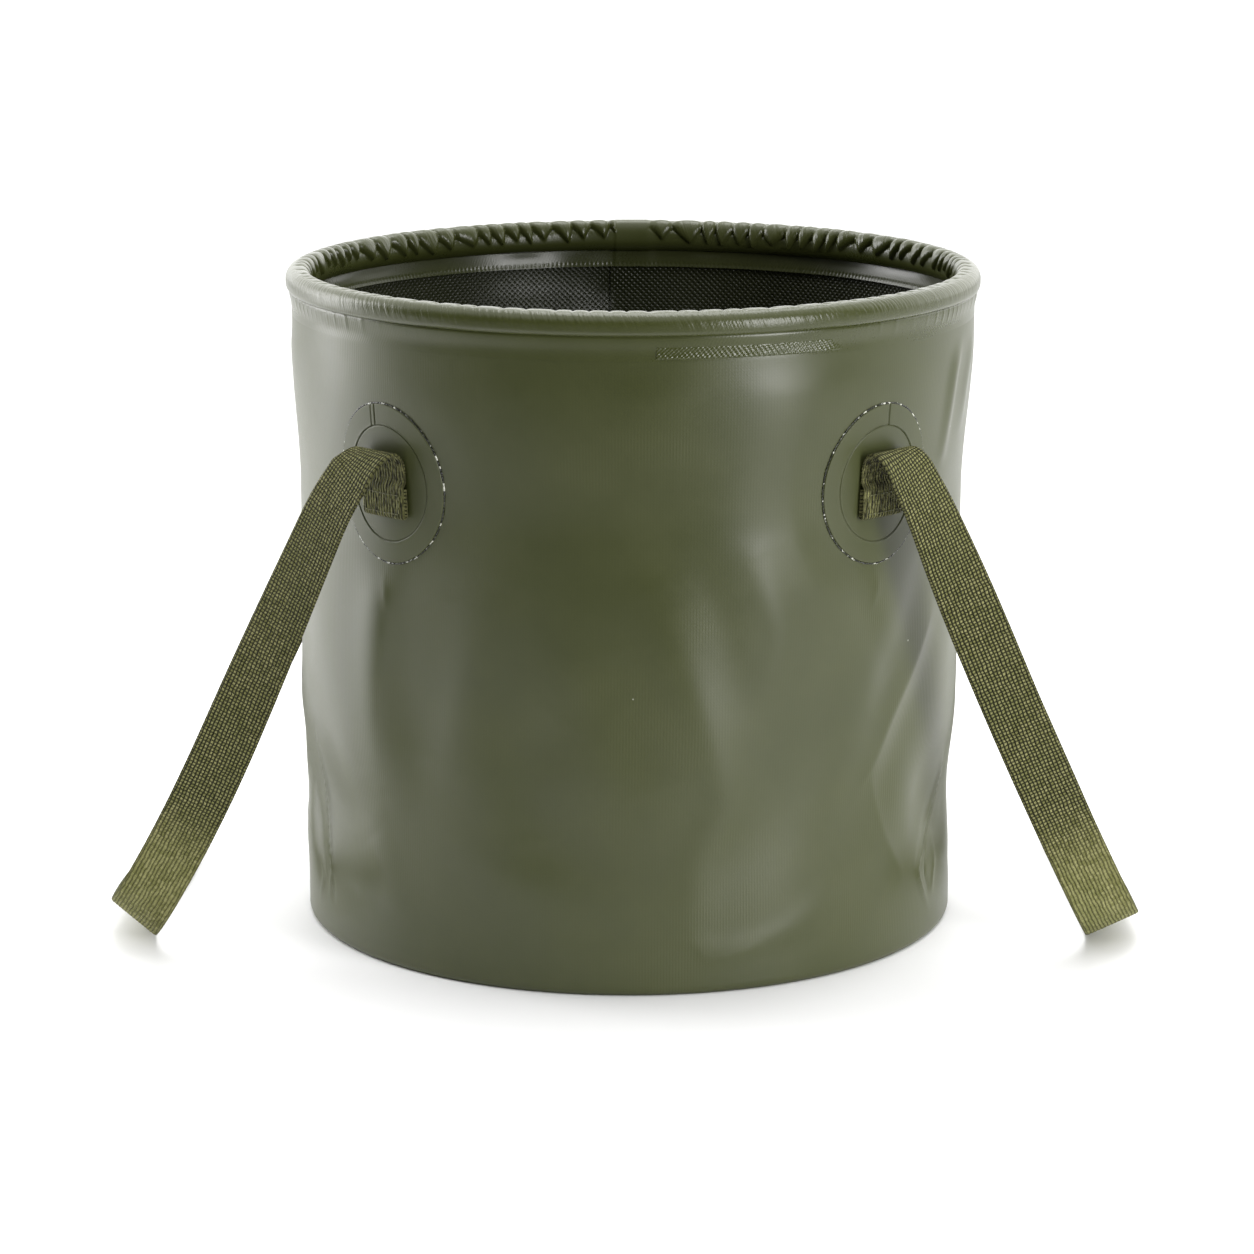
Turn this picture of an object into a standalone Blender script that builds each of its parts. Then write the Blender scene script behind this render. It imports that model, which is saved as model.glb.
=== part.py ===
"""Collapsible camp bucket in coated sheet, with a hooped rim and two webbing handles.

Metres, +Z up. The origin is the middle of the underside, the front faces -Y, and each
azimuth is counted in degrees from the front towards +X.
"""

import math

import bmesh
import bpy
from mathutils import Vector

# Sheet and the clearance that two touching pieces keep
sheet_thickness = 0.00065
fit_gap = 0.0003

# Rim: a tube hoop inside a sleeve that is folded over it
rim_outer_diameter = 0.306
overall_height = 0.292
hoop_diameter = 0.0080
hoop_wall = 0.0013
hoop_slit = 0.0012
hoop_clearance = 0.00055
joiner_length = 0.040
joiner_clearance = 0.0005
skirt_height = 0.015
skirt_inset = 0.0025
inner_flap_height = 0.025

# Wall: one sheet, rolled and lapped at the rear. Its insets are from the rim's outer edge
waist_inset = 0.00675
base_inset = 0.0076
flare_length = 0.066
toe_height = 0.080
pinch_height = 0.064
pinch_reach = 0.034
pinch_depth = 0.0022
lap_inner_end = 0.0103
lap_outer_end = 0.0120
lap_step_length = 0.020
dent_depth = 0.0036
dent_fade_length = 0.020
dent_low_margin = 0.004
dent_high_margin = 0.0068

# Base: a disc whose edge is turned up inside the wall
base_flange_height = 0.012

# Patches that carry the handles
patch_height = 0.0685
patch_width = 0.0625
patch_centre_drop = 0.0789
patch_azimuth = 44.5
patch_margin_share = 0.1
patch_blend_share = 0.6

# Webbing, and its ends that are turned under and sewn to the patches
webbing_width = 0.0254
webbing_thickness = 0.0015
strap_foot_drop = 0.0141
hem_length = 0.013
hem_rise_length = 0.004
strap_run_length = 0.003
thread_diameter = 0.0006
stitch_inset = 0.0024

# Handle loops, as they lie with their lower ends on the ground
loop_start_turn = 1.2
loop_start_gap = 0.0217
loop_start_rise = 0.019
loop_tilt = 24.8
loop_foot_width = 0.170
loop_corner_radius = 0.030
bend_fullness = 0.036
twist_length = 0.150
pivot_inset = 0.006
pivot_rise = 0.008

# Numbers of faces
around_steps = 64
wall_low_rows = 6
wall_high_rows = 7
bead_steps = 11
tube_sides = 8
patch_steps = 24
patch_rings = 3
fold_steps = 4
hem_steps = 2
bend_steps = 8
leg_steps = 7
corner_steps = 5
foot_steps = 3

# Soft dents in the wall: azimuth in degrees, height as a share of the wall, half width in
# degrees, half height share, lean in degrees up the whole wall, depth as a share of dent_depth
dent_shares = (
    (-66.0, 0.20, 10.0, 0.17, -30.0, 0.85),
    (-41.0, 0.43, 9.0, 0.22, -14.0, 0.70),
    (-16.0, 0.36, 11.0, 0.24, -40.0, 0.55),
    (24.0, 0.30, 12.0, 0.18, 46.0, 0.80),
    (49.0, 0.34, 9.0, 0.17, 60.0, 1.00),
    (66.0, 0.20, 7.0, 0.13, -36.0, 0.80),
    (118.0, 0.38, 14.0, 0.22, 40.0, 0.90),
    (152.0, 0.28, 11.0, 0.20, -38.0, 0.75),
    (-110.0, 0.34, 13.0, 0.24, 34.0, 0.85),
    (-146.0, 0.44, 12.0, 0.20, -30.0, 0.80),
)

# Worked out from the sizes above
bead_radius = hoop_diameter / 2 + hoop_clearance + sheet_thickness
hoop_centre_radius = rim_outer_diameter / 2 - bead_radius
hoop_centre_height = overall_height - bead_radius
wall_height = hoop_centre_height - skirt_height
skirt_radius = rim_outer_diameter / 2 - skirt_inset
waist_radius = rim_outer_diameter / 2 - waist_inset
base_radius = rim_outer_diameter / 2 - base_inset
flap_radius = skirt_radius - sheet_thickness - fit_gap
flap_foot_height = hoop_centre_height - inner_flap_height
flare_low_height = flap_foot_height - flare_length
dent_fade_low = base_flange_height + dent_low_margin
dent_fade_high = flap_foot_height - dent_high_margin
patch_centre_height = overall_height - patch_centre_drop
strap_foot_height = patch_centre_height - strap_foot_drop
strap_top_height = strap_foot_height + hem_length + hem_rise_length + strap_run_length
half_webbing = webbing_width / 2
tilt = math.radians(loop_tilt)
loop_down = Vector((-math.sin(tilt), 0, -math.cos(tilt)))
loop_side = Vector((math.cos(tilt), 0, -math.sin(tilt)))
loop_start_height = strap_foot_height + loop_start_rise
loop_lowest = fit_gap + half_webbing * math.sin(tilt) + webbing_thickness / 2 * math.cos(tilt)
loop_depth = (loop_start_height - loop_lowest) / math.cos(tilt)

OLIVE_SHEET = ((0.098, 0.107, 0.055, 1), 0.38, 0)
OLIVE_PATCH = ((0.104, 0.113, 0.060, 1), 0.34, 0)
WEBBING = ((0.135, 0.135, 0.058, 1), 0.86, 0)
THREAD = ((0.110, 0.112, 0.050, 1), 0.70, 0)
HOOP_PLASTIC = ((0.030, 0.032, 0.028, 1), 0.45, 0)


def smooth_step(share):
    """0 below 0, 1 above 1, and an even S between them."""
    share = min(max(share, 0), 1)
    return share * share * (3 - 2 * share)


def around(azimuth, radius, height):
    """The point at an azimuth in radians, a radius and a height."""
    return Vector((radius * math.sin(azimuth), -radius * math.cos(azimuth), height))


def wall_radius(height):
    """Outer radius of the wall without its dents."""
    toe_share = smooth_step((height - base_flange_height) / (toe_height - base_flange_height))
    toe = (waist_radius - base_radius) * toe_share
    flare = (skirt_radius - waist_radius) * smooth_step((height - flare_low_height) / flare_length)
    pinch = pinch_depth * (1 - smooth_step(abs(height - pinch_height) / pinch_reach))
    return base_radius + toe + flare - pinch


def clear_of_patches(azimuth, height):
    """0 on a patch and just round it, rising to 1 away from all four."""
    clearance = 1
    for centre in (patch_azimuth, 180 - patch_azimuth, -patch_azimuth, patch_azimuth - 180):
        turn = math.radians((azimuth - centre + 180) % 360 - 180)
        across = turn * 2 * waist_radius / patch_width
        up = 2 * (height - patch_centre_height) / patch_height
        beyond = math.hypot(across, up) - 1 - patch_margin_share
        clearance = min(clearance, smooth_step(beyond / patch_blend_share))
    return clearance


def dent(azimuth, height):
    """How far the wall is pushed in at an azimuth in degrees and a height."""
    depth = 0
    for centre, height_share, half_width, half_height, lean, depth_share in dent_shares:
        rise = height / wall_height - height_share
        turn = (azimuth - centre - lean * rise + 180) % 360 - 180
        depth += depth_share * dent_depth * math.exp(-((turn / half_width) ** 2) - (rise / half_height) ** 2)
    fade = smooth_step((height - dent_fade_low) / dent_fade_length)
    fade *= smooth_step((dent_fade_high - height) / dent_fade_length)
    return depth * fade * clear_of_patches(azimuth, height)


def finish(name, looks):
    """A plain material of a colour, a roughness and a metallic value."""
    material = bpy.data.materials.get(name) or bpy.data.materials.new(name)
    material.use_nodes = True
    shader = material.node_tree.nodes["Principled BSDF"]
    shader.inputs["Base Color"].default_value = looks[0]
    shader.inputs["Roughness"].default_value = looks[1]
    shader.inputs["Metallic"].default_value = looks[2]
    material.diffuse_color = looks[0]
    return material


def add_object(name, data, collection, parent, looks):
    """Puts a mesh or a curve in the collection under its parent, with its own material."""
    obj = bpy.data.objects.new(name, data)
    collection.objects.link(obj)
    obj.parent = parent
    obj.matrix_parent_inverse = parent.matrix_world.inverted()
    data.materials.append(finish(name + "_finish", looks))
    if obj.type == "MESH":
        data.shade_smooth()
        data.set_sharp_from_angle(angle=math.radians(40))
    return obj


def sheet_mesh(name, columns, rows, place):
    """A grid of columns by rows, each point put by place(share along, share up)."""
    shape = bmesh.new()
    bmesh.ops.create_grid(shape, x_segments=columns, y_segments=rows, size=1)
    for point in shape.verts:
        point.co = place((point.co.x + 1) / 2, (point.co.y + 1) / 2)
    mesh = bpy.data.meshes.new(name)
    shape.to_mesh(mesh)
    shape.free()
    return mesh


def thicken(obj, thickness, offset):
    """Gives an open sheet its thickness: offset -1 goes in from it, 0 to both sides, 1 out."""
    solidify = obj.modifiers.new("Thickness", "SOLIDIFY")
    solidify.thickness = thickness
    solidify.offset = offset
    solidify.use_even_offset = True


def add_turned(name, profile, collection, parent, looks, closed=False, angle=math.tau):
    """A profile of (radius, height) pairs, turned about +Z with a Screw modifier."""
    mesh = bpy.data.meshes.new(name)
    links = [(i, i + 1) for i in range(len(profile) - 1)]
    if closed:
        links.append((len(profile) - 1, 0))
    mesh.from_pydata([(radius, 0, height) for radius, height in profile], links, [])
    obj = add_object(name, mesh, collection, parent, looks)
    screw = obj.modifiers.new("Turn", "SCREW")
    screw.angle = angle
    screw.steps = screw.render_steps = around_steps
    screw.use_merge_vertices = True
    screw.merge_threshold = fit_gap / 3
    screw.use_smooth_shade = True
    return obj


def add_cord(name, collection, parent, looks, points, radius, cyclic=False, resolution=2):
    """A round tube along points."""
    curve = bpy.data.curves.new(name, "CURVE")
    curve.dimensions = "3D"
    curve.bevel_depth = radius
    curve.bevel_resolution = resolution
    curve.use_fill_caps = not cyclic
    spline = curve.splines.new("POLY")
    spline.points.add(len(points) - 1)
    for slot, point in zip(spline.points, points):
        slot.co = (*point, 1)
    spline.use_cyclic_u = cyclic
    return add_object(name, curve, collection, parent, looks)


def build_wall(collection, parent):
    """One sheet rolled round the bucket. Its outer end laps over its inner end at the rear."""
    first = -180 - math.degrees(lap_outer_end / waist_radius)
    last = 180 + math.degrees(lap_inner_end / waist_radius)
    lapped = -180 + math.degrees(lap_inner_end / waist_radius)
    step_turn = math.degrees(lap_step_length / waist_radius)
    patch_foot = patch_centre_height - patch_height / 2
    low_row = (patch_foot - dent_fade_low) / wall_low_rows
    high_row = (dent_fade_high - patch_foot) / wall_high_rows
    heights = [0, base_flange_height]
    heights += [dent_fade_low + low_row * i for i in range(wall_low_rows)]
    heights += [patch_foot + high_row * i for i in range(wall_high_rows + 1)]
    heights += [flap_foot_height, wall_height]
    rows = len(heights) - 1

    def place(along, up):
        azimuth = first + (last - first) * along
        height = heights[round(up * rows)]
        lap = (sheet_thickness + fit_gap) * (1 - smooth_step((azimuth - lapped) / step_turn))
        radius = wall_radius(height) + lap - dent(azimuth, height)
        return around(math.radians(azimuth), radius, height)

    mesh = sheet_mesh("wall_panel", around_steps, rows, place)
    thicken(add_object("wall_panel", mesh, collection, parent, OLIVE_SHEET), sheet_thickness, -1)


def build_base(collection, parent):
    """The disc that the bucket stands on, with its edge turned up inside the wall."""
    edge = base_radius - sheet_thickness - fit_gap
    inner = edge - sheet_thickness
    profile = [(0, sheet_thickness), (inner, sheet_thickness), (inner, base_flange_height),
               (edge, base_flange_height), (edge, 0), (0, 0)]
    add_turned("base_panel", profile, collection, parent, OLIVE_SHEET)


def sleeve_section():
    """Mid line of the sleeve, from the foot of its outer skirt over the hoop to its inner flap."""
    mid = bead_radius - sheet_thickness / 2
    skirt = skirt_radius - sheet_thickness / 2
    flap = flap_radius - sheet_thickness / 2
    first = -math.acos((skirt - hoop_centre_radius) / mid)
    last = math.tau - math.acos((flap - hoop_centre_radius) / mid)
    section = [(skirt, wall_height + fit_gap), (skirt, (wall_height + hoop_centre_height) / 2)]
    for i in range(bead_steps + 1):
        turn = first + (last - first) * i / bead_steps
        section.append((hoop_centre_radius + mid * math.cos(turn), hoop_centre_height + mid * math.sin(turn)))
    section.append((flap, flap_foot_height))
    return section


def build_rim(collection, parent):
    """The folded sleeve, the split hoop that it holds and the plug that joins the hoop's ends."""
    sleeve = add_turned("rim_sleeve", sleeve_section(), collection, parent, OLIVE_SHEET)
    thicken(sleeve, sheet_thickness, 0)

    slit_turn = hoop_slit / hoop_centre_radius
    ring = []
    for i in range(tube_sides):
        turn = -math.tau * (i + 1 / 2) / tube_sides
        ring.append((hoop_centre_radius + hoop_diameter / 2 * math.cos(turn),
                     hoop_centre_height + hoop_diameter / 2 * math.sin(turn)))
    hoop = add_turned("rim_hoop", ring, collection, parent, HOOP_PLASTIC, True, math.tau - slit_turn)
    hoop.rotation_euler.z = math.pi / 2 + slit_turn / 2
    thicken(hoop, hoop_wall, -1)

    half_turn = joiner_length / 2 / hoop_centre_radius
    points = [around(math.pi - half_turn + half_turn * i / fold_steps, hoop_centre_radius, hoop_centre_height)
              for i in range(2 * fold_steps + 1)]
    joiner_radius = hoop_diameter / 2 - hoop_wall - joiner_clearance
    add_cord("hoop_joiner", collection, parent, HOOP_PLASTIC, points, joiner_radius)


def build_patch(name, azimuth, collection, parent):
    """A round patch welded to the wall. It follows the wall's flare."""
    shape = bmesh.new()
    spokes = [shape.verts.new((i / patch_rings, 0, 0)) for i in range(patch_rings + 1)]
    edges = [shape.edges.new(pair) for pair in zip(spokes, spokes[1:])]
    bmesh.ops.spin(shape, geom=spokes + edges, axis=(0, 0, 1), cent=(0, 0, 0), steps=patch_steps,
                   angle=math.tau, use_merge=True)
    bmesh.ops.remove_doubles(shape, verts=shape.verts, dist=fit_gap)
    bmesh.ops.recalc_face_normals(shape, faces=shape.faces)
    if sum(face.normal.z for face in shape.faces) < 0:
        bmesh.ops.reverse_faces(shape, faces=shape.faces)
    for point in shape.verts:
        height = patch_centre_height + point.co.y * patch_height / 2
        radius = wall_radius(height) + fit_gap
        turn = azimuth + point.co.x * patch_width / 2 / radius
        point.co = around(turn, radius, height)
    mesh = bpy.data.meshes.new(name)
    shape.to_mesh(mesh)
    shape.free()
    patch = add_object(name, mesh, collection, parent, OLIVE_PATCH)
    thicken(patch, sheet_thickness, 1)


def strap_seat(height):
    """Radius of the webbing's mid line where it lies on a patch."""
    return wall_radius(height) + 2 * fit_gap + sheet_thickness + webbing_thickness / 2


def hem_radius(height):
    """Radius of the webbing's mid line over its turned-under end."""
    return strap_seat(height) + webbing_thickness + fit_gap


def strap_end_line():
    """(radius, height) along the sewn end: up under the hem, round the fold and up the patch."""
    fold_radius = (webbing_thickness + fit_gap) / 2
    fold_height = strap_foot_height + fold_radius + webbing_thickness / 2
    fold_middle = strap_seat(fold_height) + fold_radius
    hem_top = strap_foot_height + hem_length
    hem = [fold_height + (hem_top - fold_height) * i / hem_steps for i in range(1, hem_steps + 1)]
    line = [(strap_seat(height), height) for height in reversed(hem)]
    for i in range(fold_steps + 1):
        turn = math.pi * i / fold_steps
        line.append((fold_middle - fold_radius * math.cos(turn), fold_height - fold_radius * math.sin(turn)))
    line += [(hem_radius(height), height) for height in hem]
    line += [(strap_seat(height), height) for height in (hem_top + hem_rise_length, strap_top_height)]
    return line


def build_strap_end(name, azimuth, collection, parent):
    """The end of the webbing that is folded under and sewn to a patch."""
    line = strap_end_line()

    def place(along, across):
        radius, height = line[round(along * (len(line) - 1))]
        return around(azimuth + (across - 1 / 2) * webbing_width / radius, radius, height)

    mesh = sheet_mesh(name, len(line) - 1, 2, place)
    thicken(add_object(name, mesh, collection, parent, WEBBING), webbing_thickness, 0)


def build_stitching(name, azimuth, collection, parent):
    """The box of thread that goes through the turned-under end."""
    proud = webbing_thickness / 2 + fit_gap + thread_diameter / 2
    half_turn = (half_webbing - stitch_inset) / hem_radius(strap_foot_height)
    low = strap_foot_height + stitch_inset
    high = strap_foot_height + hem_length - stitch_inset
    corners = [(-1, low), (-1 / 2, low), (0, low), (1 / 2, low), (1, low), (1, (low + high) / 2)]
    corners += [(1, high), (1 / 2, high), (0, high), (-1 / 2, high), (-1, high), (-1, (low + high) / 2)]
    points = [around(azimuth + half_turn * share, hem_radius(height) + proud, height) for share, height in corners]
    add_cord(name, collection, parent, THREAD, points, thread_diameter / 2, cyclic=True, resolution=1)


def loop_start():
    """Where the left loop's front leg begins, out from the wall and below the crest of the bend."""
    radius = wall_radius(loop_start_height) + loop_start_gap
    return around(-math.radians(patch_azimuth + loop_start_turn), radius, loop_start_height)


def leg_direction_and_corner():
    """In the loop's plane, across and down from its start: the leg's direction and the corner's middle."""
    corner = Vector((-loop_foot_width / 2 + loop_corner_radius, loop_depth - loop_corner_radius))
    start = Vector((loop_start().y, 0))
    reach = corner - start
    lean = math.atan2(reach.x, reach.y) - math.asin(loop_corner_radius / reach.length)
    return Vector((math.sin(lean), math.cos(lean))), corner, start


def in_loop_plane(flat):
    """The point of the left loop's plane that is flat.x along +Y and flat.y down the loop."""
    return Vector((loop_start().x, flat.x, loop_start_height)) + flat.y * loop_down


def loop_line():
    """Mid line of the left loop from its front start to its rear start."""
    direction, corner, start = leg_direction_and_corner()
    lean = math.atan2(direction.x, direction.y)
    tangent_point = corner + loop_corner_radius * Vector((-math.cos(lean), math.sin(lean)))
    half = [start.lerp(tangent_point, i / leg_steps) for i in range(leg_steps)]
    for i in range(corner_steps):
        turn = lean + (math.pi / 2 - lean) * i / corner_steps
        half.append(corner + loop_corner_radius * Vector((-math.cos(turn), math.sin(turn))))
    foot = Vector((corner.x, corner.y + loop_corner_radius))
    half += [foot.lerp(Vector((-foot.x, foot.y)), i / foot_steps / 2) for i in range(foot_steps)]
    rear = [Vector((-flat.x, flat.y)) for flat in reversed(half)]
    middle = [Vector((0, foot.y))]
    return [in_loop_plane(flat) for flat in half + middle + rear]


def bend_line():
    """Mid line from the top of the front left sewn end, over and out to the start of the loop."""
    low = around(math.radians(-patch_azimuth), strap_seat(strap_top_height), strap_top_height)
    direction, _, start = leg_direction_and_corner()
    high = in_loop_plane(start)
    below = around(math.radians(-patch_azimuth), strap_seat(strap_foot_height), strap_foot_height)
    up = bend_fullness * (low - below).normalized()
    down = bend_fullness * (Vector((0, direction.x, 0)) + direction.y * loop_down)
    line = []
    for i in range(bend_steps + 1):
        t = i / bend_steps
        line.append((2 * t**3 - 3 * t**2 + 1) * low + (t**3 - 2 * t**2 + t) * up
                    + (3 * t**2 - 2 * t**3) * high + (t**3 - t**2) * down)
    return line


def ribbon_frames(line, first_side, run_before):
    """(point, half width vector) along a line. The side turns from first_side to loop_side."""
    frames = []
    run = run_before
    for i, point in enumerate(line):
        ahead = line[min(i + 1, len(line) - 1)] - line[max(i - 1, 0)]
        run += (point - line[i - 1]).length if i else 0
        side = first_side.lerp(loop_side, min(run / twist_length, 1))
        side -= side.project(ahead)
        frames.append((point, half_webbing * side.normalized()))
    return frames, run


def mirrored(vector, flip_x, flip_y):
    return Vector((vector.x * flip_x, vector.y * flip_y, vector.z))


def shortened(line):
    """The line drawn back at both ends so that it keeps its gap to what it meets."""
    line = list(line)
    line[0] = line[0] + (line[1] - line[0]).normalized() * fit_gap
    line[-1] = line[-1] + (line[-2] - line[-1]).normalized() * fit_gap
    return line


def build_ribbon(name, frames, flip_x, flip_y, collection, parent):
    """Webbing along frames, mirrored to the other side or to the rear by the flips."""

    def place(along, across):
        point, half = frames[round(along * (len(frames) - 1))]
        return mirrored(point + (2 * across - 1) * half, flip_x, flip_y)

    mesh = sheet_mesh(name, len(frames) - 1, 1, place)
    ribbon = add_object(name, mesh, collection, parent, WEBBING)
    thicken(ribbon, webbing_thickness, 0)


def handle_frames():
    """Frames of the front left bend and of the whole left loop."""
    tangent = around(math.radians(90 - patch_azimuth), 1, 0)
    bend, run = ribbon_frames(shortened(bend_line()), tangent, 0)
    line = shortened(loop_line())
    middle = len(line) // 2
    half, _ = ribbon_frames(line[: middle + 1], tangent, run)
    rear = [(mirrored(point, 1, -1), mirrored(side, 1, -1)) for point, side in reversed(half[:-1])]
    return bend, half + rear


def add_empty(name, collection, parent=None, place=(0, 0, 0)):
    empty = bpy.data.objects.new(name, None)
    collection.objects.link(empty)
    empty.location = place
    empty.parent = parent
    return empty


def main():
    for obj in list(bpy.data.objects):
        bpy.data.objects.remove(obj, do_unlink=True)
    collection = bpy.data.collections.new("collapsible_camp_bucket")
    bpy.context.scene.collection.children.link(collection)

    ground = add_empty("bucket_base", collection)
    rim = add_empty("rim", collection, ground, (0, 0, hoop_centre_height))
    anchors = add_empty("handle_anchors", collection, ground, (0, 0, strap_top_height))
    bpy.context.view_layer.update()

    build_base(collection, ground)
    build_wall(collection, ground)
    build_rim(collection, rim)

    bend, loop = handle_frames()
    for side, flip_x in (("left", 1), ("right", -1)):
        for end, flip_y in (("front", 1), ("rear", -1)):
            place = f"{end}_{side}"
            front_azimuth = -flip_x * patch_azimuth
            azimuth = math.radians(front_azimuth if flip_y > 0 else 180 - front_azimuth)
            build_patch("patch_" + place, azimuth, collection, anchors)
            build_strap_end("strap_end_" + place, azimuth, collection, anchors)
            build_stitching("stitching_" + place, azimuth, collection, anchors)
            build_ribbon("strap_bend_" + place, bend, flip_x, flip_y, collection, anchors)
        reach = flip_x * (loop_start().x + pivot_inset)
        rise = loop_start_height + pivot_rise - strap_top_height
        pivot = add_empty("handle_" + side, collection, anchors, (reach, 0, rise))
        bpy.context.view_layer.update()
        build_ribbon("handle_loop_" + side, loop, flip_x, 1, collection, pivot)


main()
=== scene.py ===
"""Looks of a collapsible camp bucket: olive coated sheet, a gathered rim and woven handles.

Metres, +Z up, front towards -Y. Azimuths are in degrees from the front towards +X.
"""

import math

import bpy
import numpy as np
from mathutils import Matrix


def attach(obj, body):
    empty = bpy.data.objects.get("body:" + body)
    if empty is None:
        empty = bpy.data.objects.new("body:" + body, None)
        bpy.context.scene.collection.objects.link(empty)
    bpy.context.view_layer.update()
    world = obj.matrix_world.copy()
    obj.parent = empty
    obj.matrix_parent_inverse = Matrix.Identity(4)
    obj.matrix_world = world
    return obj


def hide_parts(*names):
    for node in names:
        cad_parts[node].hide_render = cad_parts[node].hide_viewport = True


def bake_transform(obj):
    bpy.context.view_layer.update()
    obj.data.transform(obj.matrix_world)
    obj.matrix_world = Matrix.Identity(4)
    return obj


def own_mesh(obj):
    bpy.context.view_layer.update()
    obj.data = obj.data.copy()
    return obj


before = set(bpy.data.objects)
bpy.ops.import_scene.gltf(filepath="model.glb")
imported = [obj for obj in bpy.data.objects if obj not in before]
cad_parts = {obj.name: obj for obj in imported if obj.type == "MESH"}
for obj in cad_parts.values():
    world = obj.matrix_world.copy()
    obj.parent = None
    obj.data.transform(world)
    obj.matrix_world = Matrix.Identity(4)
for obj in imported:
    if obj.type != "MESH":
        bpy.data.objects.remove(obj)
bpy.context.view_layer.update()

# Sizes shared with the solids
sheet_thickness = 0.00065
fit_gap = 0.0003
rim_outer_radius = 0.153
overall_height = 0.292
bead_radius = 0.0052
skirt_height = 0.015
skirt_inset = 0.0025
inner_flap_height = 0.025
waist_inset = 0.00675
base_inset = 0.0076
flare_length = 0.066
toe_height = 0.080
base_flange_height = 0.012
pinch_height = 0.064
pinch_reach = 0.034
pinch_depth = 0.0022
lap_inner_end = 0.0103
lap_outer_end = 0.0120
lap_step_length = 0.020
dent_depth = 0.0036
patch_height = 0.0685
patch_width = 0.0625
patch_centre_height = 0.2131
patch_azimuth = 44.5
webbing_width = 0.0254
webbing_thickness = 0.0015
strap_foot_height = 0.199
strap_top_height = 0.219
hem_length = 0.013
hem_rise_length = 0.004
stitch_inset = 0.0024
loop_start_turn = 1.2
loop_start_height = 0.218
loop_foot_width = 0.170
loop_corner_radius = 0.030

# Worked out from them
hoop_centre_radius = rim_outer_radius - bead_radius
hoop_centre_height = overall_height - bead_radius
wall_height = hoop_centre_height - skirt_height
skirt_radius = rim_outer_radius - skirt_inset
waist_radius = rim_outer_radius - waist_inset
base_radius = rim_outer_radius - base_inset
flap_radius = skirt_radius - sheet_thickness - fit_gap
flap_foot_height = hoop_centre_height - inner_flap_height
flare_low_height = flap_foot_height - flare_length

# The plane below which a handle loop folds down when the bucket is pushed flat
loop_cut_height = 0.200

# Broad dents: azimuth, height as a share, half width in degrees, half height as a share, degrees of
# lean over the height, and depth as a share of the deepest
dent_shares = (
    (-66.0, 0.20, 10.0, 0.17, -30.0, 0.85),
    (-41.0, 0.43, 9.0, 0.22, -14.0, 0.70),
    (-16.0, 0.36, 11.0, 0.24, -40.0, 0.55),
    (24.0, 0.30, 12.0, 0.18, 46.0, 0.80),
    (49.0, 0.34, 9.0, 0.17, 60.0, 1.00),
    (66.0, 0.20, 7.0, 0.13, -36.0, 0.80),
    (118.0, 0.38, 14.0, 0.22, 40.0, 0.90),
    (152.0, 0.28, 11.0, 0.20, -38.0, 0.75),
    (-110.0, 0.34, 13.0, 0.24, 34.0, 0.85),
    (-146.0, 0.44, 12.0, 0.20, -30.0, 0.80),
)

# Soft folds, from the photograph: (azimuth, height in mm) along the fold, then its half width in
# mm and how far it stands out in mm
soft_folds = (
    ([(-46, 178), (-48, 150), (-48, 112), (-45, 76)], 14, 2.2),
    ([(-33, 166), (-34, 128), (-36, 96)], 14, -1.2),
    ([(-21, 172), (-27, 137), (-33, 98)], 13, 0.8),
    ([(-12, 120), (-18, 92), (-16, 66)], 14, -0.8),
    ([(-34, 70), (-24, 50), (-8, 42)], 11, 0.4),
    ([(-50, 56), (-46, 42), (-42, 26)], 10, 0.9),
    ([(4, 172), (8, 141), (14, 102), (16, 80), (12, 58), (10, 26)], 11, 1.8),
    ([(-3, 150), (0, 118), (4, 90)], 12, -0.8),
    ([(20, 186), (25, 153), (24, 132)], 8, 0.8),
    ([(23, 205), (24, 175)], 40, 1.3),
    ([(11, 186), (15, 160), (18, 128)], 9, -0.7),
    ([(36, 134), (33, 104), (30, 78)], 14, -0.5),
    ([(11, 21), (16, 15), (28, 24), (38, 40)], 7, 0.8),
    ([(62, 150), (57, 128), (51, 108), (47, 91), (44, 80)], 9, 0.9),
    ([(58, 168), (50, 132), (45, 112)], 10, -0.9),
    ([(40, 174), (44, 150), (50, 130)], 9, -0.6),
    ([(71, 272), (67.6, 260), (66, 250), (65, 236), (64, 220)], 4.5, 1.3),
    ([(80, 268), (75, 250), (73, 230)], 6, 0.9),
    ([(90, 84), (89, 55), (88, 28)], 13, -1.7),
    ([(-90, 246), (-90, 190), (-90, 120), (-89, 48)], 22, 2.3),
    ([(-78, 60), (-73, 42), (-69, 24)], 6, -1.0),
    ([(190, 216), (190, 196)], 40, -4.0),
    ([(172, 250), (168, 225), (166, 196)], 12, -1.2),
)

# Sharp creases, with the same values
sharp_creases = (
    ([(-75, 86), (-71, 62), (-67, 37), (-66, 20)], 1.6, 1.3),
    ([(-69, 40), (-66, 27), (-64, 18)], 1.3, -0.8),
    ([(-72, 34), (-70, 24), (-71, 14)], 1.4, 0.7),
    ([(73, 76), (69, 58), (62, 42), (60.5, 32), (66, 12)], 1.6, 1.5),
    ([(66, 40), (64.5, 31), (66, 22)], 1.2, -0.7),
    ([(69, 46), (70, 32), (68, 20)], 1.4, 0.7),
    ([(62, 146), (57, 128), (51, 108), (47, 92), (44, 82.5)], 7, 1.2),
    ([(46, 83), (47.5, 68), (49.5, 54), (54, 37)], 7, 1.2),
    ([(183.5, 276), (183, 240), (181, 205)], 14, 3.0),
    ([(-45.5, 178), (-46, 170), (-45, 158)], 1.8, 0.6),
    ([(43, 178), (45, 170), (44, 160)], 1.8, 0.5),
    ([(11, 22), (14, 15), (22, 19)], 1.8, 0.5),
)

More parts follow.
